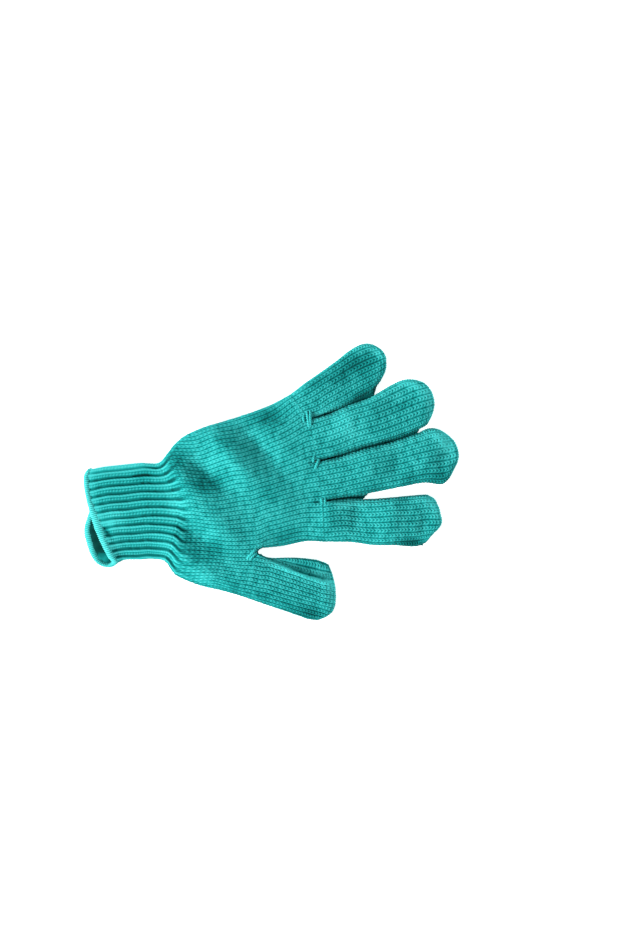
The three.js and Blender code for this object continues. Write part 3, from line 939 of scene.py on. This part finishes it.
def drift(seed, around, rows, wale, course):
    """A smooth random value for each stitch, from -1 to 1, without a jump where a ring closes."""
    values = np.random.default_rng(seed).uniform(-1, 1, (around, rows + 6))
    w, c = wale % around, np.clip(course + 2, 0, rows + 4.999)
    i, j = np.floor(w).astype(int) % around, np.floor(c).astype(int)
    fi, fj = smoothstep(w - np.floor(w)), smoothstep(c - np.floor(c))
    near = lerp(values[i, j], values[i, j + 1], fj)
    far = lerp(values[(i + 1) % around, j], values[(i + 1) % around, j + 1], fj)
    return lerp(near, far, fi)


def hole_at(past_root):
    """How open the stitches are: fingers are knitted looser than the palm."""
    return lerp(0.6, 0.8, smoothstep(past_root, -10, 6))


def plain_relief(wale, beat_at, hole_deep):
    """Depth of plain knit below its loops, in mm, from the wale number and the course along the legs."""
    side = 2 * np.abs(wale % 1 - 0.5)  # 0 in the middle of the wale, 1 at its border
    beat = 0.5 + 0.5 * np.cos(2 * math.pi * beat_at)
    border = np.exp(-(((1 - side) / BORDER_WIDE) ** 2)) * (0.85 + 0.15 * beat)
    hole = np.exp(-((side / HOLE_WIDE) ** 2)) * beat**1.5
    return KNIT_DEEP * np.clip(border + hole_deep * hole + 0.15 * beat * (1 - border), 0, 1)


def stitch_look(seed, around, rows, wale, beat_at, course, hole_deep, points):
    """The depth and the tone of a tube's stitches. Both drift a little from stitch to stitch.

    The tone also takes painted light and shade from the patches.
    """
    uneven = drift(seed + 50, around, rows, wale, course)
    depth = plain_relief(wale, beat_at, hole_deep) + UNEVEN * (1 + uneven)
    return depth, drift(seed, around, rows, wale, course) + patches_at(PAINTED_LIGHT_AND_SHADE, points)


samples = plain_relief(np.array([0.0, 0.5]), np.array([0.5, 0.0]), hole_at(0))
print("depth at a border and at a hole:", np.round(samples, 2), "mm")

# %% Making a mesh of a skin
MM = 0.001


def point_normals(points, faces):
    """Outward directions of a mesh's points, from the quads round them."""
    a, b, c, d = (points[faces[:, k]] for k in range(4))
    face_normals = np.cross(c - a, d - b)
    total = np.zeros_like(points)
    for k in range(4):
        np.add.at(total, faces[:, k], face_normals)
    return total / np.maximum(np.linalg.norm(total, axis=1, keepdims=True), 1e-12)


def numbered(rows, columns, first=0):
    """The numbers of a grid's points."""
    return first + np.arange(rows * columns).reshape(rows, columns)


def quads(index):
    """Faces between the rows of a grid of point numbers that closes round on itself."""
    here, there = index[:-1], index[1:]
    turn = lambda rows: np.roll(rows, -1, axis=1)
    return np.stack([here, turn(here), turn(there), there], axis=-1).reshape(-1, 4)


def sink(points, index, depth):
    """A grid's points in a list, its quads, their outward directions, and the points sunk by a depth."""
    flat = points.reshape(-1, 3)
    faces = quads(index)
    normals = point_normals(flat, faces)
    return flat, faces, normals, flat - normals * depth.reshape(-1, 1)


def close_end(faces, ring, middle, outward_first):
    """Triangles from a ring of point numbers to a middle point."""
    for k in range(len(ring)):
        pair = (ring[k], ring[(k + 1) % len(ring)])
        faces.append([middle, *(pair if outward_first else pair[::-1])])


def joined(parts):
    """One skin from several, each of which has points, faces, relief and tone."""
    points, face_lists, relief, tone = zip(*parts)
    starts = np.cumsum([0, *(len(p) for p in points)])
    faces = [[k + start for k in face] for start, part in zip(starts, face_lists) for face in part]
    return np.concatenate(points), faces, np.concatenate(relief), np.concatenate(tone)


def make_piece(name, points, faces, relief, tone, material, node, slot):
    """An object from points in mm, which stands for a node of the frame."""
    mesh = bpy.data.meshes.new(name)
    mesh.from_pydata((points * MM).tolist(), [], [[int(k) for k in face] for face in faces])
    for label, values in (("relief", relief), ("tone", tone)):
        mesh.attributes.new(label, "FLOAT", "POINT").data.foreach_set("value", np.asarray(values, np.float32))
    mesh.materials.append(material)
    mesh.polygons.foreach_set("use_smooth", [len(face) > 3 for face in faces])  # end walls are flat
    piece = bpy.data.objects.new(name, mesh)
    bpy.context.collection.objects.link(piece)
    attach(piece, "root")
    if node:
        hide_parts(node)
    triangles = sum(len(p.vertices) - 2 for p in mesh.polygons)
    print(name, "has", triangles, "triangles")
    return piece


print("a millimetre is", MM, "in the frame's metres")

# %% [markdown]
# ## Fingers and thumb
#
# Each is a tube of its own on the real glove, started at the tip and knitted down. A closed tube pushed
# into the palm would be simple, but its wales would not meet the palm's. So its first row lies on the
# palm's last one, stitch on stitch, and its last row closes the top layer onto the bottom one along the
# tip.

# %% Rows of points that follow the legs
def knit_grid(lattice, first_wale, course_count, per_course, start, slant_end):
    """Wale numbers, and the beat and course of each point of a grid whose rows follow the legs."""
    wale = first_wale + np.arange(lattice.total * ACROSS) / ACROSS
    beat_at = start + np.arange(course_count * per_course + 1) / per_course
    beat_at = np.broadcast_to(beat_at[:, None], (len(beat_at), len(wale)))
    climb = SLANT * (0.5 - 2 * np.abs(wale % 1 - 0.5)[None, :])
    return wale, beat_at, beat_at + climb * slant_end(beat_at)


print("a leg climbs", SLANT, "courses over", ACROSS // 2, "points")

# %% Tones of the fingers
EDGE_TONE = -4  # at the edge that faces away from the light
FINGER_SHADE = 0.09  # how far that shade reaches in, as a share of the width
HAND_SHADE = 0.03
# Painted highlight on the crest of the thumb's fold, and painted shade on the strip behind it:
CREST_TONE = 1.6  # on the thumb's fold
BEHIND_TONE = -1.1  # on the strip that lies lower, behind the fold


def edge_shade(way, reach):
    """Edge b faces away from the light, so the fabric is darker there, over a share of the width."""
    return EDGE_TONE * smoothstep(way, 1 - reach, 1 - 0.2 * reach) * (1 - smoothstep(way, 1.3, 1.5))


def fold_tone(form, course, way):
    """The crest of the thumb's fold gets a painted highlight, and the strip behind it painted shade."""
    fold = form.fold_share(course)
    past = way - fold
    crest = CREST_TONE * np.exp(-(((past - 0.045) / 0.04) ** 2))
    behind = BEHIND_TONE * (1 - smoothstep(past, -0.03, 0.01)) * (way < 1)
    return smoothstep(fold, 0, 0.08) * (crest + behind)


print("tones:", EDGE_TONE, "at an edge,", CREST_TONE, "on the fold and", BEHIND_TONE, "behind it")

# %% A finger
UNDERLAP = 1  # courses of a finger that lie under the hand's last ones, so that no gap shows at the root
UNDERLAP_DEEP = 0.5  # and how far they are sunk, in mm
TIP_FADE = 4  # courses before the tip over which the rows straighten
FINGER_ROWS = 5  # rows of points to a course
# Relief taken from the fabric that leans under a neighbour paints shade into the slit between the fingers.
CLEFT_PAINTED_SHADE = 0.6  # relief taken from the fabric that leans under a neighbour


def tip_faces(ring_quads):
    """Whole quads, then a triangle for each quad that has two corners in one point of the tip's seam."""
    faces = [list(face) for face in ring_quads if len(set(face)) == 4]
    return faces + [sorted(set(face), key=list(face).index) for face in ring_quads if len(set(face)) == 3]


def knit_finger(name, form, total, edges, root_numbers, root_shares, seed, pins=(), loose_from=4):
    """A finger with total wales round it, from the wale numbers at its edges and where its first ones lie."""
    root_pin = (0, SETTLE, root_numbers, fraction_of(form.top, 0, root_shares))
    lattice = Lattice(form, 0, form.courses, total, lambda c: edges, [*pins, root_pin])
    fade = lambda beat_at: 1 - smoothstep(beat_at, form.courses - TIP_FADE, form.courses)
    count = form.courses + UNDERLAP
    wale, beat_at, course = knit_grid(lattice, edges[0], count, FINGER_ROWS, -UNDERLAP, fade)
    points, way = lattice.points(wale, np.minimum(course, form.courses))
    hole_deep = hole_at(course - loose_from)
    depth, tone = stitch_look(seed, total, form.courses, wale, beat_at, course, hole_deep, points)
    tone = tone + edge_shade(way, FINGER_SHADE)
    if "fold" in form.rows:
        tone = tone + fold_tone(form, course, way)
    # Painted shade: the fabric that leans under a neighbour gets the darkest teal, so the slit looks dark.
    painted_shade = np.clip(form.lean_at(course), 0, 1) * smoothstep(way, 0.985, 1.02) * (way < 1.5)
    relief = 1 - depth / FULL_DEEP - CLEFT_PAINTED_SHADE * painted_shade
    index = numbered(*depth.shape)
    index[-1] = np.minimum(index[-1], np.roll(index[-1][::-1], 1))
    underlap = UNDERLAP_DEEP * (1 - smoothstep(course, -UNDERLAP, 0.2))
    flat, ring_quads, _, moved = sink(points, index, depth + underlap)
    moved = np.vstack([moved, flat[: len(wale)].mean(axis=0)])
    faces = tip_faces(ring_quads)
    close_end(faces, index[0], len(flat), outward_first=False)
    used = np.isin(np.arange(len(moved)), [*np.unique(index), len(flat)])
    renumber = np.cumsum(used) - 1
    faces = [[renumber[k] for k in face] for face in faces]
    relief, tone = np.append(relief.reshape(-1), 0), np.append(tone.reshape(-1), 0)
    title = name + "_knit"
    return make_piece(title, moved[used], faces, relief[used], tone[used], plain_wool, name, "plain_knit")


# %% How the hand's wales are counted
WALL_WALES = 1.5  # wales on a side wall, from the top of the fabric to its widest place
ROLLED = 6.5  # wales that have rolled underneath at the wrist, on each side
ROLL_COURSES = 12
LOWER_WALES = 79
UPPER_WALES = 66
ALWAYS = 1e6  # courses over which a pin lets go that holds along a whole tube
print("wales round the ball of the thumb:", LOWER_WALES, "and round the knuckles:", UPPER_WALES)

# %% Where the hand's wales end
lower_crotch = lower_form.crotch_share(TO_THUMB)


def lower_edges(course):
    """The wales at the hand's two edges. Near the wrist some have rolled underneath."""
    rolled = ROLLED * (1 - smoothstep(course, 0, ROLL_COURSES))
    return -WALL_WALES + rolled, ROOT_WALES[-1] + THUMB_WALES + WALL_WALES - rolled


def crotch_fraction(course):
    """Where the thumb's crotch lies on the top layer, along the fabric."""
    return [fraction_of(lower_form.top, course, lower_form.crotch_share(course))]


lower_lattice = Lattice(
    lower_form, 0, TO_THUMB, LOWER_WALES, lower_edges, [(0, ALWAYS, [ROOT_WALES[-1]], crotch_fraction)]
)


def lower_share(wale):
    """Where wales of the lower hand lie at the thumb's root."""
    at_root = np.searchsorted(lower_lattice.courses, TO_THUMB)
    return lower_lattice.way(np.asarray(wale, float))[at_root] % 2


thumb_numbers = np.arange(THUMB_WALES) + 0.5
thumb_shares = (lower_share(thumb_numbers + ROOT_WALES[-1]) - lower_crotch) / (1 - lower_crotch)
print("the thumb takes up", THUMB_WALES, "of the hand's wales, from share", round(float(lower_crotch), 2))

# %% The fingers and the thumb
RIDGE_WALE = 1.5  # the wale that runs along the thumb's fold
FINGERS = [  # name, form, wales on top, on a side wall and all round, and the seed of the unevenness
    ("little_finger", little_form, 7, WALL_WALES, 20, 1),
    ("ring_finger", ring_form, 8, 1, 20, 2),
    ("middle_finger", middle_form, 8, WALL_WALES, 22, 3),
    ("index_finger", index_form, 8, WALL_WALES, 22, 4),
]


def ridge_fraction(course):
    """Where the thumb's fold lies on its top layer, along the fabric."""
    return [fraction_of(thumb_form.top, course, max(float(thumb_form.fold_share(course)), 0.02))]


ridge_pin = (0, ALWAYS, [RIDGE_WALE], ridge_fraction)
thumb_edges = (-WALL_WALES, THUMB_WALES + WALL_WALES)
knit_finger("thumb", thumb_form, 28, thumb_edges, thumb_numbers, thumb_shares, 5, [ridge_pin], loose_from=20)
for name, form, wales, wall, around, seed in FINGERS:
    numbers = np.arange(wales) + 0.5
    knit_finger(name, form, around, (-wall, wales + wall), numbers, numbers / wales, seed)

# %% [markdown]
# ## The hand
#
# Two tubes make the hand: one from the wrist to the thumb's root, one from there to the fingers. A single
# tube with a thumb pulled out of it would stretch the stitches there. At the wrist the ribs of the cuff
# don't stop at once: their furrows run on into the plain knit for a few courses and fade. The lower tube
# is hollow and open towards the cuff, so a look through the mouth doesn't end at a wall.

# %% Ribs
RIBS = 13  # on each face of the cuff
RIB_DEEP = 1.7
STRAND_AT = 0.17  # how far the two strands of a rib lie from its middle, in ribs
RIB_FADE = 4  # courses of the palm over which the ribs fade
RIB_COURSE = 1.95  # the ribs' courses are tighter than the palm's


def rib_relief(phase, beat_at):
    """Depth of the ribs below their crests, in mm: a groove between ribs and two strands on each rib."""
    place = phase % 1
    from_groove = np.minimum(place, 1 - place)
    from_middle = np.abs(place - 0.5)
    groove = 1 - smoothstep(from_groove, 0.05, 0.2)
    strand = ((from_middle - STRAND_AT) / STRAND_AT) ** 2
    second = smoothstep(place, 0.45, 0.6)
    beat = (0.5 + 0.5 * np.cos(2 * math.pi * (beat_at + 1.5 * from_middle))) * lerp(0.2, 0.42, second)
    return RIB_DEEP * groove + (0.7 * np.minimum(strand, 1) + beat + 0.14 * second) * (1 - groove)


print("a rib between its strands is", round(float(rib_relief(np.array(0.5), 0.0)), 2), "mm deep")

# %% The hand's stitches
HAND_ROWS = 4  # rows of points to a course, here and in the cuff
palm_numbers = np.arange(ROOT_WALES[-1]) + 0.5
palm_shares = lower_share(palm_numbers) / lower_crotch
root_shares = np.interp(palm_numbers, ROOT_WALES, upper_form.joins)


def upper_start(course):
    """Where the wales of the upper tube lie, to meet those of the lower one."""
    return fraction_of(upper_form.top, course, palm_shares)


def upper_edges(course):
    return -WALL_WALES, ROOT_WALES[-1] + WALL_WALES


upper_pins = [
    (TO_THUMB, SETTLE, palm_numbers, upper_start),
    (TO_FINGERS, SETTLE, palm_numbers, fraction_of(upper_form.top, TO_FINGERS, root_shares)),
]
upper_lattice = Lattice(upper_form, TO_THUMB, TO_FINGERS, UPPER_WALES, upper_edges, upper_pins)


def hand_grid(lattice, first, last, seed):
    wale, beat_at, course = knit_grid(lattice, -WALL_WALES, last - first, HAND_ROWS, first, np.ones_like)
    if first == 0:
        course = beat_at + (course - beat_at) * smoothstep(beat_at, 0, 2)
    points, way = lattice.points(wale, course)
    hole_deep = hole_at(course - TO_FINGERS)
    depth, tone = stitch_look(seed, lattice.total, last, wale, beat_at, course, hole_deep, points)
    return points, way, beat_at, depth, tone + edge_shade(way, HAND_SHADE)


def wrist_phase(way):
    """The rib that a place at the wrist belongs to, counted round the cuff."""
    zero = np.array([0.0])
    top, bottom = widths(lower_form.top, zero)[0], widths(lower_form.bottom, zero)[0]
    over = way <= 1
    fraction = np.where(over, np.interp(way, DENSE, top), 2 - np.interp(2 - way, DENSE, bottom))
    return RIBS * fraction


print("wales pinned across the palm:", len(palm_numbers))

# %% The hand
HAND_WALL = 1.8


def lining(faces, flat, normals, index):
    """Adds an inner wall, open towards the cuff, to the faces, and gives the points of that wall.

    It has one point for each stitch, and ends three courses before the outer wall."""
    picked = index[: -3 * HAND_ROWS : HAND_ROWS, ::ACROSS]
    inner = flat[picked] - normals[picked] * HAND_WALL
    inner_index = numbered(*picked.shape, len(flat) + 1)
    faces += quads(inner_index)[:, ::-1].tolist()
    close_end(faces, inner_index[-1], len(flat) + 1 + picked.size, outward_first=False)
    for k, after in enumerate(np.roll(inner_index[0], -1)):
        outer = [(k * ACROSS + n) % index.shape[1] for n in range(ACROSS + 1)]
        faces.append([inner_index[0, k], after, *outer[::-1]])
    return np.vstack([inner.reshape(-1, 3), inner[-1].mean(axis=0)])


def hand_tube(points, depth, tone, hollow):
    """Points, faces, relief and tone of one of the hand's two tubes."""
    index = numbered(*depth.shape)
    flat, faces, normals, moved = sink(points, index, depth)
    faces = faces.tolist()
    close_end(faces, index[-1], len(flat), outward_first=True)
    if hollow:
        extra = lining(faces, flat, normals, index)
    else:
        close_end(faces, index[0], len(flat) + 1, outward_first=False)
        extra = moved[index[0]].mean(axis=0)
    extra = np.vstack([moved[index[-1]].mean(axis=0), extra])
    relief = 1 - np.clip(depth.reshape(-1) / FULL_DEEP, 0, 0.9)
    # The lining and the middle points get relief 0, the darkest teal, as painted shade inside the hand.
    blank = np.zeros(len(extra))
    return np.vstack([moved, extra]), faces, np.append(relief, blank), np.append(tone.reshape(-1), blank)


def make_hand():
    points, way, beat_at, depth, tone = hand_grid(lower_lattice, 0, TO_THUMB, seed=6)
    ribs = 0.75 * rib_relief(wrist_phase(way), beat_at * COURSE / RIB_COURSE)
    knit = depth + 0.3 * ribs * (1 - smoothstep(beat_at, 0, 2 * RIB_FADE))
    depth = lerp(ribs, knit, smoothstep(beat_at, 0, RIB_FADE))
    lower = hand_tube(points, depth, tone, hollow=True)
    points, _, _, depth, tone = hand_grid(upper_lattice, TO_THUMB, TO_FINGERS, seed=6)
    upper = hand_tube(points, depth, tone, hollow=False)
    return make_piece("hand_knit", *joined([lower, upper]), plain_wool, "hand", "plain_knit")


make_hand()

# %% [markdown]
# ## Stitches at the crotches
#
# Where two fingers part, the maker pulls the yarn across the gap and through both edges, so a few loops
# stand up there. As bumps of the fabric they would look like more knit. So they are arcs of two-ply yarn,
# sunk into the fabric at both ends.

# %% Crotch stitches
YARN_RADIUS = 0.9
CROTCH_LOOPS = table("ax ay bx by foot", [  # both ends of each loop, and the height of its feet
    [31.2, 48, 31, 37.8, 10],
    [33.3, 47.6, 31.9, 37.8, 10],
    [28.6, 45.8, 28.3, 41, 9.4],
    [33.4, 16.5, 29.9, 10.8, 9.8],
    [30.7, 19.4, 29.7, 15.6, 9.4],
    [30.8, -7.4, 30.6, -12.9, 9.6],
    [33, -8.4, 32.4, -12.4, 9.4],
    [-22.3, -37.5, -16, -32.6, 13.6],
    [-20.6, -38.2, -16.2, -34.9, 13.4],
])
LOOP_RISE = 1.6  # from the feet to the crown of a loop


def yarn(line, radius, sides=10, lay=3.2):
    """A closed tube along a line, with the ridges of two plies, which turn once in lay millimetres.

    It comes as points, faces, relief and tone."""
    _, long = along(line)
    ahead = unit(np.gradient(line, axis=0))
    side = unit(np.cross(ahead, [0, 0, 1.0]))
    up = np.cross(side, ahead)
    turn = 2 * math.pi * np.arange(sides) / sides
    walk = np.linspace(0, long / lay, len(line))[:, None] * 2 * math.pi
    ply = np.abs(np.cos(turn - walk))
    thick = radius * (0.78 + 0.22 * ply)[..., None]
    outward = np.cos(turn)[:, None] * side[:, None] + np.sin(turn)[:, None] * up[:, None]
    skin = line[:, None] + thick * outward
    index = numbered(len(line), sides)
    points = np.vstack([skin.reshape(-1, 3), line[:1], line[-1:]])
    faces = quads(index).tolist()
    close_end(faces, index[0], len(points) - 2, outward_first=False)
    close_end(faces, index[-1], len(points) - 1, outward_first=True)
    relief = np.append(0.45 + 0.5 * ply.ravel(), [0, 0])
    return points, faces, relief, 0 * relief


def make_crotch_stitches():
    loops = []
    t = np.linspace(0, 1, 25)[:, None]
    for ax, ay, bx, by, foot in zip(*CROTCH_LOOPS.values()):
        line = lerp(np.array([ax, ay, foot]), np.array([bx, by, foot]), t)
        line[:, 2:] += LOOP_RISE * np.sqrt(np.clip(4 * t * (1 - t), 0, 1))
        loops.append(yarn(line, YARN_RADIUS))
    return make_piece("crotch_stitches", *joined(loops), plain_wool, None, "plain_knit")


make_crotch_stitches()

# %% [markdown]
# ## The ribbed cuff
#
# Thirteen ribs lie on each face. The cuff is a tube whose mouth is pulled slightly askew, with the bottom
# layer reaching further out than the top one, so the inside shows as a dark sliver. Straight ribs could
# be an array of one rib, but these lie flat in one place and run on into the palm in another. So the
# outline of the mouth is given as two lines, a skin runs from there to the wrist, and the ribs are its
# relief.

# %% Tables of the cuff
CUFF = table("ax ay bx by high bow", [
    [-104, 36.4, -99.5, -25.8, 12, 0],
    [-92, 35.7, -90, -27.4, 11.5, 0],
    [-80, 34.8, -83, -28.2, 12, 3],
])
MOUTH_TOP = np.array([  # x, y, z and half the width of the band
    [-112, 35.3, 4.5, 1.9],
    [-114.5, 32.4, 7.5, 1.9],
    [-115.4, 23.5, 9.5, 1.9],
    [-115.1, 16, 10, 2],
    [-113.8, 8.5, 10.4, 2.6],
    [-112.4, 0.5, 10.8, 3],
    [-111.2, -7.1, 11.2, 2.6],
    [-109.6, -14, 11.4, 2.4],
    [-107.6, -21, 10, 2.3],
    [-106.3, -25, 6.2, 2.1],
])
MOUTH_BOTTOM = np.array([
    [-106.3, -25, 6.2, 2.1],
    [-110.6, -26.8, 2.2, 2.2],
    [-115.8, -24.5, 1.6, 2.4],
    [-119, -18.5, 1.5, 2.6],
    [-120.6, -9.5, 1.5, 2.6],
    [-120.8, -2, 1.5, 2.4],
    [-117.8, 5.4, 1.5, 2],
    [-114.9, 12, 1.5, 1.7],
    [-114.8, 22, 1.5, 1.7],
    [-114, 31.8, 1.8, 1.8],
    [-112, 35.3, 4.5, 1.9],
])
PUCKER = table("x y heading long wide strength", [[-104.6, -0.2, -58, 4.5, 3, 1]])  # where the ribs lie flat
CREASE = table("x y heading long wide deep", [[-106.9, -5.6, -58, 3.8, 1.5, 1]])
print("points given along the mouth:", len(MOUTH_TOP) + len(MOUTH_BOTTOM) - 2)

# %% The cuff's form
BAND_THICK = 1.6  # half the thickness of the overlocked band
UNDER_BAND = 0.6  # where the ribs start, under the band, as a share of half its width
RIM_OUT = 1.3  # and how far they stand out there from the middle of the wall
ACROSS_RIB = 16
FACE_COLUMNS = RIBS * ACROSS_RIB


def evenly(line, count):
    """count places spread evenly along a line, without its end."""
    return read_along(line, along(line)[0], np.arange(count) / count)


def mouth_half(rows, is_top):
    """A line of the mouth, set back into the cuff and moved out from the middle of its wall."""
    last = len(rows) - 1
    at = np.linspace(0, last, 120)
    line = through(rows, at)
    turn = math.pi * (at / last + (0 if is_top else 1))
    out = np.stack([0 * turn, np.cos(turn), np.sin(turn)], -1)
    inland = unit(np.cross(out, np.gradient(line[:, :3], axis=0)))
    return line[:, :3] + inland * line[:, 3:] * UNDER_BAND + out * RIM_OUT


def section_halves(row):
    """The top line of one of the cuff's rows from edge a, and its bottom line from edge b."""
    ax, ay, bx, by, high, bow = (column[row] for column in CUFF.values())
    across = 1 - 2 * DENSE
    plan = np.stack([lerp(ax, bx, DENSE) + bow * (1 - across**2), lerp(ay, by, DENSE)], -1)
    edge = EDGE_SHARE * high
    top = edge + (high - edge) * crown_at(across)
    top = top - patches_at(FOLDS, plan) * top / high
    bottom = edge * (1 - tuck_at(across))
    return raised(plan, top), raised(plan, bottom)[::-1]


def hand_halves(course):
    """The same two lines, of the hand at a course."""
    at = np.full_like(DENSE, course)
    return lower_form.top(at, DENSE), lower_form.bottom(at, DENSE)[::-1]


def ring_of(halves):
    return np.concatenate([evenly(half, FACE_COLUMNS) for half in halves])


def cuff_form():
    """Places on the crests of the ribs in rows from the mouth on, with the rows' courses and their number."""
    halves = [(mouth_half(MOUTH_TOP, True), mouth_half(MOUTH_BOTTOM, False))]
    halves += [section_halves(row) for row in range(3)] + [hand_halves(0.0), hand_halves(3.0)]
    rings = np.array([ring_of(pair) for pair in halves])  # the last one only gives the curve its heading
    steps = np.linalg.norm(np.diff(rings[:-1], axis=0), axis=-1).mean(axis=1)
    reached = np.concatenate([[0], np.cumsum(steps)])
    courses = round(reached[-1] / RIB_COURSE)
    beat_at = np.arange(courses * HAND_ROWS + 1)[:, None] / HAND_ROWS
    row = np.interp(beat_at / courses * reached[-1], reached, np.arange(len(reached)))
    return through(rings[:, None], np.broadcast_to(row, (len(row), rings.shape[1]))), beat_at, courses


cuff_points, cuff_beats, cuff_courses = cuff_form()
print("the cuff has", cuff_courses, "courses")

# %% The cuff's stitches
FIRST_RIB = 0.5  # depth of the rib at edge a near the mouth, as a share: it is stretched flat
FLAT_COURSES = 7  # courses before the wrist over which it gets its depth back


def cuff_look(phase):
    """The depth of the cuff's ribs and their tone, for columns of places counted in ribs.

    The tone takes painted light and shade from the patches, and painted highlights on the pucker and the
    first rib.
    """
    past = cuff_beats - cuff_courses
    slow = drift(7, 2 * RIBS, cuff_courses, phase, cuff_beats)
    sway = 0.06 * drift(9, 2 * RIBS, cuff_courses, phase, cuff_beats / 5) * smoothstep(-past, 0, 4)
    depth = rib_relief(phase + sway, past) + 0.1 * (1 + slow)
    first_rib = lerp(lerp(FIRST_RIB, 1, smoothstep(phase, 0.9, 1.9)), 1, smoothstep(past, -FLAT_COURSES, -1))
    first_rib = first_rib * lerp(1, 0.75, smoothstep(past, -FLAT_COURSES, 0))
    depth = depth * lerp(0.45, 1, smoothstep(cuff_beats, 0, 4)) * first_rib
    pucker = patches_at(PUCKER, cuff_points) * (phase < RIBS)
    depth = depth * (1 - 0.45 * pucker) + patches_at(CREASE, cuff_points) * (phase < RIBS)
    # The pucker adds a painted highlight where the ribs lie flat.
    tone = slow + patches_at(PAINTED_LIGHT_AND_SHADE, cuff_points) + pucker
    # Painted highlight along the first rib, at edge a.
    return depth, tone + 2 * (1 - smoothstep(phase, 0.5, 0.95)) * (phase > 0.02)


cuff_phase = np.arange(2 * FACE_COLUMNS) / ACROSS_RIB
cuff_depth, cuff_tone = cuff_look(cuff_phase)
print("the ribs are up to", round(float(cuff_depth.max()), 1), "mm deep")

# %% The cuff
CUFF_WALL = 2.6
INNER_HIGH = 1.2  # height of the inner side of the layer that lies on the table
INNER_TONE = -3.5  # away from the light that reaches into the mouth


def cuff_lining(flat, normals, index):
    """The inner wall's points, with half as many rows and columns, and their relief and tone.

    The relief stays near 0, which paints shade on the inner wall, and the tone adds painted light and shade.
    """
    ribs = 0.45 * np.cos(2 * math.pi * cuff_phase[::2])
    beats = 0.15 * np.cos(2 * math.pi * (cuff_beats - cuff_courses)[::2])
    deep = CUFF_WALL + ribs + beats
    inner = flat[index] - normals[index] * deep[..., None]
    inner[..., 2] = np.maximum(inner[..., 2], INNER_HIGH)
    tone = patches_at(PAINTED_LIGHT_AND_SHADE, inner) + INNER_TONE * smoothstep(inner[..., 1], -32, -6)
    # Painted shade: the inner wall's relief stays near 0, so it takes the darkest teal.
    return inner.reshape(-1, 3), 0.02 - 0.09 * (deep.reshape(-1) - CUFF_WALL), tone.reshape(-1)


def close_walls(faces, index, inner_index):
    """Joins the outer and the inner wall at the mouth and at the wrist."""
    for k, after in enumerate(np.roll(np.arange(inner_index.shape[1]), -1)):
        trio = [2 * k, 2 * k + 1, 2 * after]
        faces.append([inner_index[0, k], inner_index[0, after], *index[0, trio[::-1]]])
        faces.append([inner_index[-1, after], inner_index[-1, k], *index[-1, trio]])


def make_cuff():
    index = numbered(*cuff_depth.shape)
    flat, faces, normals, moved = sink(cuff_points, index, cuff_depth)
    moved[:, 2] = np.maximum(moved[:, 2], 0)
    inner, inner_relief, inner_tone = cuff_lining(flat, normals, index[::2, ::2])
    inner_index = numbered(*index[::2, ::2].shape, len(flat))
    faces = faces.tolist() + quads(inner_index)[:, ::-1].tolist()
    close_walls(faces, index, inner_index)
    relief = np.append(np.maximum(1 - cuff_depth.reshape(-1) / 1.5, 0.1), inner_relief)
    tone = np.append(cuff_tone.reshape(-1), inner_tone)
    points = np.concatenate([moved, inner])
    return make_piece("ribbed_cuff_knit", points, faces, relief, tone, rib_wool, "ribbed_cuff", "rib_knit")


make_cuff()

# %% [markdown]
# ## The cuff's edge
#
# The mouth is finished by overlocking: a soft thread wound round and round the rim. A helix of thread
# would show gaps and weigh more. It is a tube along the mouth's line instead, with a slanting ridge for
# each turn of the thread.

# %% The overlocked edge
TURNS = 112
EDGE_SIDES = 14
ROWS_PER_TURN = 6
EDGE_STEPS = 900  # steps along the mouth, where its length is measured


def make_edge():
    line = np.concatenate([MOUTH_TOP[:-1], MOUTH_BOTTOM[:-1]])
    wrapped = np.concatenate([line[-2:], line, line[:3]])
    dense = through(wrapped, np.linspace(2, len(line) + 2, EDGE_STEPS))
    share, long = along(dense[:, :3])
    rows = TURNS * ROWS_PER_TURN
    at = np.arange(rows) / rows
    middle = read_along(dense[:, :3], share, at)
    wide = np.interp(at, share, dense[:, 3])
    ahead = unit(np.roll(middle, -3, axis=0) - np.roll(middle, 3, axis=0))
    around = np.interp(at, share, np.linspace(0, 2 * math.pi, EDGE_STEPS))
    out = np.stack([0 * around, np.cos(around), np.sin(around)], -1)
    inland = unit(np.cross(out, ahead))
    out = np.cross(ahead, inland)
    turn = 2 * math.pi * np.arange(EDGE_SIDES) / EDGE_SIDES
    phase = 2 * math.pi * TURNS * at[:, None] + turn[None, :]
    slow = drift(8, TURNS, 14, TURNS * at[:, None], 2 * turn[None, :])
    ridge = np.abs(np.cos(phase / 2)) ** 0.8
    radius = (0.74 + 0.26 * ridge + 0.04 * slow)[..., None]
    sideways = (wide[:, None] * np.cos(turn))[..., None] * inland[:, None]
    upward = BAND_THICK * np.sin(turn)[:, None] * out[:, None]
    points = middle[:, None] + radius * (sideways + upward)
    points = points.reshape(-1, 3)
    points[:, 2] = np.maximum(points[:, 2], 0)
    index = numbered(rows, EDGE_SIDES)
    faces = quads(np.vstack([index, index[:1]]))
    print("edge is", round(float(long), 1), "mm round")
    relief = (0.15 + 0.8 * ridge).ravel()
    return make_piece(
        "cuff_edge_thread", points, faces, relief, slow.ravel(), edge_thread, "cuff_edge", "edge_thread"
    )


make_edge()
